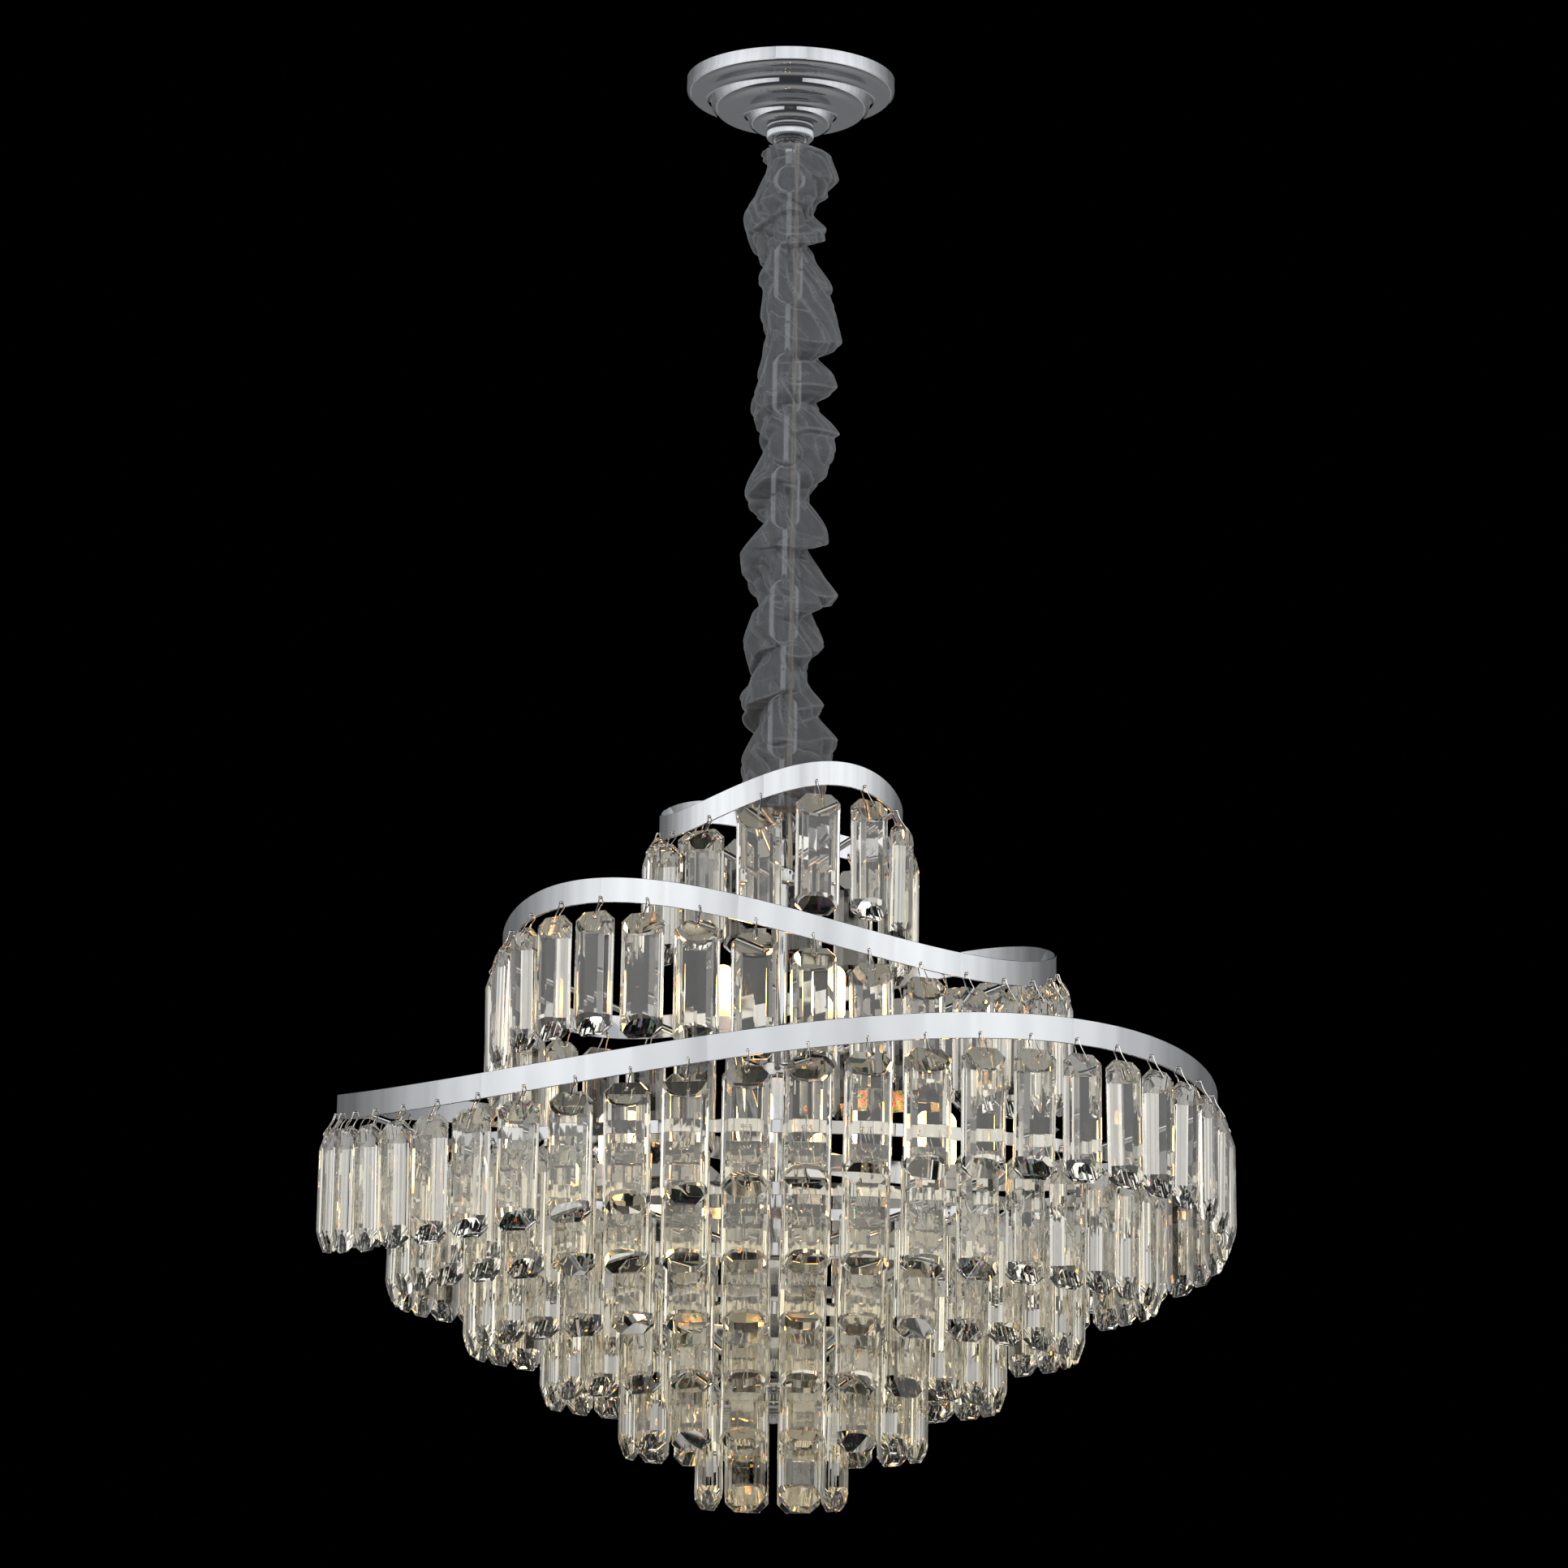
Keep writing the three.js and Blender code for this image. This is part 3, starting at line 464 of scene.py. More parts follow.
def band_material():
    """Bent strip: chrome with slight upright waves from the bending."""
    colours = ((0.5, 0.505, 0.515), (0.56, 0.565, 0.57))
    bumps = ((16, 1, (1, 1, 0.06)), 0.3, 0.0012)
    return patchy_material("bent_chrome", {"Metallic": 1}, (30,), colours, (0.03, 0.07), bumps)


def steel_material():
    colours = ((0.5, 0.51, 0.53), (0.68, 0.68, 0.69))
    bumps = ((700,), 0.15, 0.0001)
    return patchy_material("zinc_steel", {"Metallic": 1}, (140, 5), colours, (0.28, 0.48), bumps)


def wire_material():
    colours = ((0.7, 0.66, 0.6), (0.88, 0.85, 0.8))
    return patchy_material("hook_wire", {"Metallic": 1}, (220,), colours, (0.14, 0.26))


def glass_material(name="cut_glass", values=None):
    """Cut lead glass, washed amber: the amber is painted warm light from the lamps."""
    glass = {"Roughness": 0, "IOR": 1.56, "Transmission Weight": 1, **(values or {})}
    return patchy_material(name, glass, (25,), GLASS_TINTS_WITH_PAINTED_GLOW)


def rainbow_glass_material():
    """End facets of the glass bars, where the light splits into faint colours."""
    material = glass_material("cut_glass_ends", {"Thin Film IOR": 1.36})
    tree = material.node_tree
    link(tree, ranged(tree, noise_of(tree, 110, 1), 250, 1100), "Thin Film Thickness")
    return material


def lamp_glass_material():
    """Glass of the lamps, glowing most round the coil inside it."""
    material, tree = new_material("lamp_envelope", {
        "Base Color": (1, 0.95, 0.86, 1),
        "IOR": 1.45,
        "Transmission Weight": 1,
        "Emission Color": (1, 0.45, 0.11, 1),
    })
    place = add_node(tree, "TexCoord").outputs["Generated"]
    up = add_node(tree, "SeparateXYZ", {0: place}).outputs["Z"]
    from_coil = calculated(tree, "ABSOLUTE", calculated(tree, "SUBTRACT", up, 0.6))
    glow = calculated(tree, "POWER", ranged(tree, from_coil, 1, 0, 0, 0.42), 1.5)
    link(tree, ranged(tree, glow, 0.3, 17, 0, 1), "Emission Strength")
    link(tree, ranged(tree, noise_of(tree, 200), 0, 0.03), "Roughness")
    return material


def filament_material():
    material, tree = new_material("lamp_core", {
        "Base Color": (1, 0.9, 0.7, 1),
        "Roughness": 0.5,
        "Emission Strength": 950,
    })
    colour = mixed_colour(tree, noise_of(tree, 400), (1, 0.62, 0.28), (1, 0.74, 0.42))
    link(tree, colour, "Emission Color")
    return material


def ceramic_material():
    values = {"Coat Weight": 0.4, "Coat Roughness": 0.12}
    colours = ((0.8, 0.78, 0.73), (0.9, 0.89, 0.86))
    bumps = ((300,), 0.1, 0.0001)
    return patchy_material("glazed_ceramic", values, (420, 4), colours, (0.28, 0.42), bumps)


def plastic_material():
    values = {"Subsurface Weight": 0.1, "Subsurface Scale": 0.002}
    colours = ((0.78, 0.78, 0.74), (0.88, 0.88, 0.85))
    bumps = ((1500,), 0.2, 0.00005)
    return patchy_material("terminal_plastic", values, (260, 4), colours, (0.4, 0.55), bumps)


def insulation_material():
    """Cream insulation of the wires inside the flex."""
    colours = ((0.66, 0.58, 0.44), (0.82, 0.75, 0.6))
    return patchy_material("cream_insulation", {"Specular IOR Level": 0.5}, (200,), colours, (0.3, 0.45))


def flex_material():
    """Clear sheath round the wires."""
    values = {"Coat Weight": 1, "Coat Roughness": 0.08, "Specular IOR Level": 0.6}
    streaks = (300, 2, (1, 1, 0.02))
    colours = ((0.36, 0.32, 0.24), (0.8, 0.74, 0.58))
    material = patchy_material("clear_flex", values, streaks, colours, (0.2, 0.35))
    tree = material.node_tree
    link(tree, ranged(tree, noise_of(tree, *streaks), 0.05, 0.2), "Alpha")
    return material


def organza_material():
    """Sheer weave: fine threads with gaps between them, denser where threads bunch or are creased, and
    painted lighter along the creases as a painted highlight.
    """
    material, tree = new_material("organza", {
        "Roughness": 0.55,
        "Sheen Weight": 0.6,
        "Sheen Roughness": 0.35,
        "Specular IOR Level": 0.3,
    })
    coordinates = add_node(tree, "UVMap").outputs["UV"]
    threads = []
    for turn in (0, math.pi / 2):
        place = add_node(tree, "Mapping", {"Vector": coordinates, "Rotation": (0, 0, turn)}).outputs[0]
        wave = add_node(tree, "TexWave", {"Vector": place, "Scale": 620, "Distortion": 0.6, "Detail": 1})
        threads.append(wave.outputs["Fac"])
    weave = calculated(tree, "MAXIMUM", *threads)
    streaks = noise_of(tree, 60, 4, (2.5, 0.5, 1), "UV")
    crease_density_and_highlight = add_node(tree, "Attribute", attribute_name="crease").outputs["Fac"]
    crease_density_and_highlight = ranged(tree, crease_density_and_highlight, 0, 1, 0.2, 0.9)
    # Painted highlight: the colour is lighter along the creases
    link(tree, mixed_colour(tree, crease_density_and_highlight, (0.155, 0.16, 0.167), (0.235, 0.24, 0.247)), "Base Color")
    open_weave = ranged(tree, weave, 0.44, 0.66, 0.2, 0.9)
    bunched = ranged(tree, streaks, 0.92, 1.1)
    alpha = calculated(tree, "MULTIPLY", open_weave, bunched)
    # The weave is denser along the creases: partly threads bunched there, partly a painted highlight line
    alpha = calculated(tree, "ADD", alpha, calculated(tree, "MULTIPLY", crease_density_and_highlight, 0.14), use_clamp=True)
    link(tree, alpha, "Alpha")
    bumped(tree, weave, 0.2, 0.0001)
    return material


def floor_material():
    return patchy_material("pale_floor", {"Roughness": 0.8}, (2, 4), ((0.6, 0.6, 0.6), (0.66, 0.66, 0.66)))


# Camera, lights and floor

def add_camera():
    data = bpy.data.cameras.new("camera")
    data.sensor_width = SENSOR_WIDTH
    data.lens = SENSOR_WIDTH * FOCAL_PIXELS / IMAGE_SIZE
    data.clip_end = 100
    camera = new_object("camera", data)
    pitch = Matrix.Rotation(math.radians(90 + CAMERA_PITCH), 4, "X")
    roll = Matrix.Rotation(math.radians(CAMERA_ROLL), 4, "Z")
    camera.matrix_world = Matrix.Translation(CAMERA_PLACE) @ pitch @ roll
    bpy.context.scene.camera = camera


def add_panel(name, place, target, size, start, end):
    """Soft light panel, fading across from start to end and towards its upper and lower edges."""
    data = bpy.data.lights.new(name, "AREA")
    data.use_nodes = True
    tree = data.node_tree
    parts = add_node(tree, "SeparateXYZ", {0: add_node(tree, "NewGeometry").outputs["Parametric"]})
    across, up = parts.outputs["X"], parts.outputs["Y"]
    from_middle = calculated(tree, "ABSOLUTE", calculated(tree, "SUBTRACT", up, 0.5))
    ripple = add_node(tree, "TexNoise", {"Vector": across, "Scale": PANEL_RIPPLES, "Detail": 1})
    strength = ranged(tree, across, start, end, 0, 1)
    fade = ranged(tree, from_middle, 1, 1 - PANEL_FADE, 0.2, 0.5)
    for factor in (fade, ranged(tree, ripple.outputs["Fac"], *PANEL_RIPPLE_RANGE)):
        strength = calculated(tree, "MULTIPLY", strength, factor)
    tree.links.new(strength, tree.nodes["Emission"].inputs["Strength"])
    data.color = COOL_WHITE
    data.shape = "RECTANGLE"
    data.size, data.size_y = size
    data.energy = math.pi * size[0] * size[1]
    panel = new_object(name, data)
    direction = Vector(target) - Vector(place)
    panel.rotation_euler = direction.to_track_quat("-Z", "Y").to_euler()
    panel.location = place
    panel.visible_camera = False


def add_lights():
    for hand, side in ((-1, "left"), (1, "right")):
        for number, (near, far) in enumerate(zip(PANEL_EDGES, PANEL_EDGES[1:])):
            place = polar(math.radians(hand * (near[0] + far[0]) / 2), PANEL_DISTANCE, PANEL_HEIGHT)
            width = 2 * PANEL_DISTANCE * math.tan(math.radians(far[0] - near[0]) / 2)
            start, end = (near[1], far[1]) if hand > 0 else (far[1], near[1])
            name = f"{side}_panel_{number}"
            add_panel(name, place, (0, 0, PANEL_HEIGHT), (width, PANEL_TALL), start, end)
    place, target = (0, -PANEL_DISTANCE, FRONT_PANEL_HEIGHT), (0, 0, FRONT_PANEL_HEIGHT)
    size = (FRONT_PANEL_WIDTH, PANEL_TALL)
    add_panel("front_panel", place, target, size, FRONT_PANEL_RADIANCE, FRONT_PANEL_RADIANCE)
    above = (*BOUNCE_PLACE[:2], 0)
    add_panel("floor_bounce", BOUNCE_PLACE, above, BOUNCE_SIZE, BOUNCE_RADIANCE, BOUNCE_RADIANCE)


def set_world():
    """Black to the camera, in glass and in metal, and a little even light for the rest."""
    world = bpy.data.worlds.new("studio")
    bpy.context.scene.world = world
    world.use_nodes = True
    tree = world.node_tree
    path = add_node(tree, "LightPath").outputs
    seen = calculated(tree, "MAXIMUM", path["Is Camera Ray"], path["Is Glossy Ray"])
    seen = calculated(tree, "MAXIMUM", seen, path["Is Transmission Ray"])
    colour = mixed_colour(tree, seen, WORLD_LIGHT, (0, 0, 0))
    tree.links.new(colour, tree.nodes["Background"].inputs["Color"])


def add_floor():
    sides = ((-1, -1), (1, -1), (1, 1), (-1, 1))
    mesh = bpy.data.meshes.new("floor")
    mesh.from_pydata([(x * FLOOR_REACH, y * FLOOR_REACH, FLOOR_HEIGHT) for x, y in sides], [], [[0, 1, 2, 3]])
    mesh.materials.append(floor_material())
    new_object("floor", mesh)


# Canopy, loop, collar and what the canopy covers

def add_canopy(chrome):
    corners = []
    for index, (radius, height, rounding) in enumerate(CANOPY_CORNERS):
        last = index == len(CANOPY_CORNERS) - 1
        convex = index % 2 == 1
        tighter = max(rounding - CANOPY_WALL, 0.3) if convex else rounding + CANOPY_WALL / 2
        inside = radius if last else radius - CANOPY_WALL
        above = height if index == 0 else height + CANOPY_WALL
        corners.append((inside, above, tighter))
    outline = rounded(CANOPY_CORNERS) + rounded(corners)[::-1]
    form = Form().add(*turned(outline, 160, closed=True))
    add_piece("canopy_shell", form, chrome, "canopy", ["canopy"])


def add_collar(chrome):
    outline = rounded([
        (NECK_RADIUS + 0.3, COLLAR_TOP, 0),
        (COLLAR_RADIUS - 0.4, COLLAR_TOP, 0.4),
        (COLLAR_RADIUS, COLLAR_TOP - 1.6, 0.6),
        (COLLAR_RADIUS, COLLAR_BOTTOM + 1.6, 0.6),
        (COLLAR_RADIUS - 1, COLLAR_BOTTOM, 0.5),
        (NECK_RADIUS + 0.3, COLLAR_BOTTOM, 0),
    ], 3)

    def knurled(angle, radius, height):
        if radius < COLLAR_RADIUS - 0.5:
            return radius
        return radius - COLLAR_TOOTH_DEPTH * (0.5 + 0.5 * math.cos(COLLAR_TEETH * angle))

    form = Form().add(*turned(outline, COLLAR_TEETH * 6, closed=True, radius_at=knurled))
    add_piece("knurled_collar", form, chrome, "collar", ["canopy_collar"], 60)


def thread_outline(radius, bottom, top):
    count = int((top - bottom) / THREAD_PITCH)
    outline = []
    for turn in range(count):
        height = bottom + turn * THREAD_PITCH
        outline += [(radius - THREAD_DEPTH, height), (radius, height + THREAD_PITCH / 2)]
    return outline + [(radius - THREAD_DEPTH, bottom + count * THREAD_PITCH)]


def ring_path(radius, height, steps=56):
    angles = [2 * math.pi * step / steps for step in range(steps)]
    return [(radius * math.cos(angle), 0, height + radius * math.sin(angle)) for angle in angles]


def add_loops(chrome):
    bore_floor = NECK_BOTTOM + 4
    wall = thread_outline(NECK_RADIUS, NECK_BOTTOM + 1, NECK_TOP)
    outline = [(0, NECK_BOTTOM), (NECK_RADIUS - 1, NECK_BOTTOM), *wall, (NECK_BORE, NECK_TOP),
               (NECK_BORE, bore_floor), (0, bore_floor)]
    form = Form().add(*turned([(max(radius, 0.01), height) for radius, height in outline], 48))
    shank = rounded([
        (0.01, UPPER_LOOP_HEIGHT + LOOP_RADIUS, 0),
        (SHANK_RADIUS - 0.6, UPPER_LOOP_HEIGHT + LOOP_RADIUS, 1),
        (SHANK_RADIUS, UPPER_LOOP_HEIGHT + LOOP_RADIUS + 3, 1.5),
        (SHANK_RADIUS, NECK_BOTTOM - 3, 1.5),
        (SHANK_RADIUS + 2.5, NECK_BOTTOM + 0.1, 0),
        (0.01, NECK_BOTTOM + 0.1, 0),
    ])
    form.add(*turned(shank, 32))
    form.add(*tube(ring_path(LOOP_RADIUS, UPPER_LOOP_HEIGHT), LOOP_WIRE, WIRE_SIDES, closed=True))
    add_piece("hanging_loop", form, chrome, "ceiling_fixing", ["canopy_loop"])

    form = Form().add(*tube(ring_path(LOOP_RADIUS, LOWER_LOOP_HEIGHT), LOOP_WIRE, WIRE_SIDES, closed=True))
    neck = rounded([
        (0.01, FRAME_NECK_BOTTOM, 0),
        (FRAME_NECK_RADIUS, FRAME_NECK_BOTTOM, 0.8),
        (FRAME_NECK_RADIUS, FRAME_NECK_TOP - 3, 2),
        (FRAME_NECK_RADIUS - 2.5, FRAME_NECK_TOP, 1),
        (0.01, FRAME_NECK_TOP, 0),
    ])
    form.add(*turned(neck, 32))
    add_piece("frame_loop", form, chrome, "frame", ["frame_top_loop"])


def link_outline():
    """Centre line of a chain link about its middle, across and up."""
    bend_steps, straight_steps = 14, 6
    outline = []
    for end in (1, -1):
        for step in range(bend_steps + 1):
            angle = math.pi * step / bend_steps
            up = LINK_HALF_STRAIGHT + LINK_BEND * math.sin(angle)
            outline.append((end * LINK_BEND * math.cos(angle), end * up))
        for step in range(1, straight_steps):
            outline.append((-end * LINK_BEND, end * LINK_HALF_STRAIGHT * (1 - 2 * step / straight_steps)))
    return outline


def facing(outline, middle, sideways):
    """Path of an outline given across and up, at a height and facing the side or the front."""
    return [(0, across, middle + up) if sideways else (across, 0, middle + up) for across, up in outline]


def weld_swell(way):
    return LINK_WIRE + WELD_SWELL * math.sin(math.pi * way)


def add_chain(chrome):
    outline = link_outline()
    for number in range(1, LINK_COUNT + 1):
        node = f"chain_link_{number:02d}"
        low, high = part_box(node)
        middle = (low[2] + high[2]) / 2 * METRE
        sideways = number % 2 == 1
        form = Form().add(*tube(facing(outline, middle, sideways), LINK_WIRE, WIRE_SIDES, closed=True))
        hand = 1 if number % 3 else -1
        weld = facing([(hand * LINK_BEND, rise) for rise in WELD_RISES], middle, sideways)
        form.add(*tube(weld, LINK_WIRE, WIRE_SIDES, radius_at=weld_swell))
        body = "first_link" if number == 1 else "chain"
        add_piece(f"link_{number:02d}", form, chrome, body, [node])


def beside(path, turn):
    """Path of one wire of a twisted pair."""
    wire = []
    for point in path:
        angle = turn + math.pi / 2 + (point.z - FLEX_ENTRY) / CORE_TWIST
        wire.append(point + Vector((math.cos(angle), math.sin(angle), 0)) * CORE_SPREAD)
    return wire


def add_flex(flex, insulation):
    aside = FLEX_OFFSET
    top = [(21.4, 0, FLEX_ENTRY), (18, 0, FLEX_ENTRY), (14, -1, -10.6), (9, -4, -14.5),
           (aside + 0.6, 0.2 - aside, -22)]
    top += [(aside, -aside, height) for height in (-34, -80, -112)]
    middle = [(aside, -aside, height) for height in (-112, -125, -140, -160, -220, -300)]
    bottom = [(aside, -aside, height) for height in (-300, -420, -520, -540)]
    bottom += [(5.8, -5.8, -556), (6.6, -6.6, -570), (6.7, -6.7, -580), (6.7, -6.7, FLEX_END)]
    stretches = [
        ("flex_top", top, "ceiling_fixing", "first_link", (-70, -105)),
        ("flex_middle", middle, "first_link", "chain", (-115, -150)),
        ("flex_bottom", bottom, "chain", "frame", (-535, -578)),
    ]
    for index, (name, route, above, below, (start, end)) in enumerate(stretches):
        path = smooth_path(route, 10)
        sheath, wires = Form().add(*tube(path, FLEX_RADIUS, WIRE_SIDES)), Form()
        for turn in (0, math.pi):
            wires.add(*tube(beside(path, turn), CORE_RADIUS, 8))
        outside = add_piece(name, sheath, flex, None, ["supply_flex"] if index == 0 else [])
        inside = add_piece(f"{name}_wires", wires, insulation, None, [])
        for piece in (outside, inside):
            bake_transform(piece)


# Sleeve

def eased(way):
    return way * way * (3 - 2 * way)


def reach_at(turns, height):
    """Reach of one side at a height, between its turning points."""
    for (above, before), (below, after) in zip(turns, turns[1:]):
        if height >= below:
            way = min(max((above - height) / (above - below), 0), 1)
            return before + (after - before) * (0.5 * way + 0.5 * eased(way))
    return turns[-1][1]


def sleeve_point(angle, height):
    """A point of the gathered sleeve: its folds run slanting from one side's turns to the other's."""
    aside, front = math.sin(angle), math.cos(angle)
    to_right = eased((1 + aside) / 2)
    drift = noise.noise(Vector((aside, front, height / SLEEVE_DRIFT_LENGTH)))
    slant = SLEEVE_SLANT * front + SLEEVE_DRIFT * drift * abs(front)
    right = reach_at(SLEEVE_RIGHT, height + slant)
    left = reach_at(SLEEVE_LEFT, height - slant)
    radius = left + (right - left) * to_right + SLEEVE_FULLNESS
    place = Vector((0.9 * aside, 0.9 * front, height / CREASE_LENGTH + 0.5 * aside))
    for fineness, shift, depth in CREASES:
        crease = abs(noise.noise(place * fineness + Vector(shift))) * 2
        radius -= depth * (1 - min(crease * CREASE_SHARPNESS, 1)) ** 2
    lift = -SLEEVE_DROOP_SHARE * (radius - SLEEVE_MEAN_REACH)
    from_end = min(SLEEVE_TOP - height, height - SLEEVE_BOTTOM)
    loose = eased(min(max(from_end / SLEEVE_GATHER, 0), 1))
    tied = SLEEVE_TIED_RADIUS + SLEEVE_PLEAT * (0.5 + 0.5 * math.cos(SLEEVE_PLEATS * angle))
    return polar(angle, tied + (max(radius, SLEEVE_CORE) - tied) * loose, height + lift * loose)


def sleeve_cloth():
    """Points of the whole sleeve, row by row from the top."""
    points = []
    for row in range(SLEEVE_ROWS + 1):
        height = SLEEVE_TOP + (SLEEVE_BOTTOM - SLEEVE_TOP) * row / SLEEVE_ROWS
        for column in range(SLEEVE_COLUMNS + 1):
            share = column / SLEEVE_COLUMNS
            angle = math.pi + math.radians(360 + SLEEVE_LAP) * share
            points.append(sleeve_point(angle, height) + polar(angle, SLEEVE_LAP_RISE * share, 0))
    return points


def sleeve_row(height):
    return round(SLEEVE_ROWS * (SLEEVE_TOP - height) / (SLEEVE_TOP - SLEEVE_BOTTOM))


def mark_creases_and_highlights(mesh, across):
    """Stores how sharply the cloth turns at each point, where its threads lie closer together and where the
    organza's colour is painted lighter as a painted highlight.
    """
    crease = mesh.attributes.new("crease", "FLOAT", "POINT")
    count = len(mesh.vertices)
    for index in range(count):
        here = mesh.vertices[index].co
        turn = 0
        for step in (1, across):
            before, after = index - step, index + step
            if before < 0 or after >= count:
                continue
            one, other = mesh.vertices[before].co - here, mesh.vertices[after].co - here
            if one.length > 0 and other.length > 0:
                turn = max(turn, math.pi - one.angle(other))
        crease.data[index].value = min(turn / SLEEVE_SHARPEST_TURN, 1)


def add_sleeve_piece(name, cloth, first, last, organza, replaced):
    across = SLEEVE_COLUMNS + 1
    rows = last - first
    form = Form()
    form.points = cloth[first * across:(last + 1) * across]
    for row in range(1, rows + 1):
        for column in range(1, across):
            corner = row * across + column
            form.faces.append([corner - across - 1, corner - 1, corner, corner - across])
    piece = add_piece(name, form, organza, None, replaced, 80)
    weave = piece.data.uv_layers.new(name="UVMap")
    for loop in piece.data.loops:
        row, column = divmod(loop.vertex_index, across)
        weave.data[loop.index].uv = (SLEEVE_CUT_WIDTH * column / SLEEVE_COLUMNS / METRE,
                                     SLEEVE_CUT_LENGTH * (first + row) / SLEEVE_ROWS / METRE)
    mark_creases_and_highlights(piece.data, across)
    flat_length = SLEEVE_CUT_LENGTH * rows / SLEEVE_ROWS
    return piece, (SLEEVE_CUT_WIDTH / METRE, flat_length / METRE)


def add_sleeve(organza):
    cloth = sleeve_cloth()
    joint = sleeve_row(SLEEVE_JOINT)
    upper, flat = add_sleeve_piece("sleeve_top", cloth, 0, joint, organza, ["chain_sleeve"])
    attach(upper, "first_link")
    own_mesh(upper)
    main, flat = add_sleeve_piece("sleeve", cloth, joint, SLEEVE_ROWS, organza, [])
    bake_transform(main)


# Bands and rings

def band_edge(band):
    crest = math.radians(band["crest"])
    return lambda angle: -band["depth"] - BAND_HEIGHT + band["wave"] * math.cos(2 * (angle - crest))


def strip_columns(radius, hole_angles):
    """Angles of a strip's columns, each with the angle of the hole that follows it, if any."""
    half_cell = HOOK_CELL / radius
    longest_step = math.radians(2.2)
    columns = []
    for angle, following in zip(hole_angles, [*hole_angles[1:], hole_angles[0] + 2 * math.pi]):
        start, end = angle + half_cell, following - half_cell
        columns.append((angle - half_cell, angle))
        steps = max(int((end - start) / longest_step), 1)
        for step in range(steps):
            columns.append((start + (end - start) * step / steps, None))
    return columns


def strip(radius, height, edge_at, hole_angles):
    """Bent strip with chamfered edges and a round hole for each hook."""
    chamfer, hole_row = 0.3, 2
    rows = [(0, chamfer), (chamfer, 0), (HOOK_HOLE_RISE - HOOK_CELL, 0), (HOOK_HOLE_RISE + HOOK_CELL, 0)]
    rows += [(height - chamfer, 0), (height, chamfer)]
    count = len(rows)
    columns = strip_columns(radius, hole_angles)
    octagon = [math.radians(22.5 + 45 * corner) for corner in range(8)]
    form = Form()
    hole_loops = {1: [], -1: []}
    grids = {}
    for face in (1, -1):
        points = []
        for angle, _ in columns:
            for rise, inset in rows:
                reach = radius + face * (BAND_THICKNESS / 2 - inset)
                points.append(polar(angle, reach, edge_at(angle) + rise))
        grid = len(form.points)
        grids[face] = grid
        form.add(points, [])
        for index, (_, hole) in enumerate(columns):
            here, after = grid + index * count, grid + (index + 1) % len(columns) * count
            for row in range(count - 1):
                if hole is None or row != hole_row:
                    form.faces.append([here + row, after + row, after + row + 1, here + row + 1])
                    continue
                start = len(form.points)
                for turn in octagon:
                    across, up = HOOK_HOLE_RADIUS * math.cos(turn), HOOK_HOLE_RADIUS * math.sin(turn)
                    place = hole + across / radius
                    rise = edge_at(place) + HOOK_HOLE_RISE + up
                    form.points.append(polar(place, radius + face * BAND_THICKNESS / 2, rise))
                low_left, low_right = here + row, after + row
                high_left, high_right = here + row + 1, after + row + 1
                form.faces += [
                    [low_right, start + 7, start, high_right],
                    [high_right, start + 1, start + 2, high_left],
                    [high_left, start + 3, start + 4, low_left],
                    [low_left, start + 5, start + 6, low_right],
                    [high_right, start, start + 1],
                    [high_left, start + 2, start + 3],
                    [low_left, start + 4, start + 5],
                    [low_right, start + 6, start + 7],
                ]
                hole_loops[face].append(start)
    for outer, inner in zip(hole_loops[1], hole_loops[-1]):
        for corner in range(8):
            after = (corner + 1) % 8
            form.faces.append([outer + corner, outer + after, inner + after, inner + corner])
    for index in range(len(columns)):
        after = (index + 1) % len(columns)
        for row in (0, count - 1):
            form.faces.append([grids[1] + index * count + row, grids[1] + after * count + row,
                               grids[-1] + after * count + row, grids[-1] + index * count + row])
    return form


# Crystals and hooks

def cut_by(shape, point, normal):
    """Cuts away what lies beyond a plane and closes the cut."""
    everything = shape.verts[:] + shape.edges[:] + shape.faces[:]
    cut = bmesh.ops.bisect_plane(shape, geom=everything, plane_co=point, plane_no=normal, clear_outer=True)
    edges = [item for item in cut["geom_cut"] if isinstance(item, bmesh.types.BMEdge)]
    bmesh.ops.contextual_create(shape, geom=edges)


def crystal_mesh():
    """One glass bar before its edges are broken, about its own middle: X across, Y through, Z up."""
    width, thickness = 2 * CRYSTAL_HALF_SECTION[0][0], 2 * CRYSTAL_HALF_SECTION[-1][1]
    shape = bmesh.new()
    bmesh.ops.create_cube(shape, size=1)
    bmesh.ops.scale(shape, vec=(width, thickness, CRYSTAL_LENGTH), verts=shape.verts)
    top = CRYSTAL_LENGTH / 2
    for (x1, y1), (x2, y2) in zip(CRYSTAL_HALF_SECTION, CRYSTAL_HALF_SECTION[1:]):
        for hand in (1, -1):
            for face in (1, -1):
                cut_by(shape, (hand * x1, face * y1, 0), (hand * (y2 - y1), face * (x1 - x2), 0))
    fall = thickness / 2 - CRYSTAL_END_THICKNESS
    for end in (1, -1):
        for face in (1, -1):
            normal = (0, face * CRYSTAL_END_FACET, end * fall)
            cut_by(shape, (0, face * CRYSTAL_END_THICKNESS, end * top), normal)
        for hand in (1, -1):
            cut_by(shape, (hand * width / 2, 0, end * (top - CRYSTAL_CORNER)), (hand, 0, end))
    bmesh.ops.recalc_face_normals(shape, faces=shape.faces)
    mesh = bpy.data.meshes.new("crystal_template")
    shape.to_mesh(mesh)
    shape.free()
    return mesh


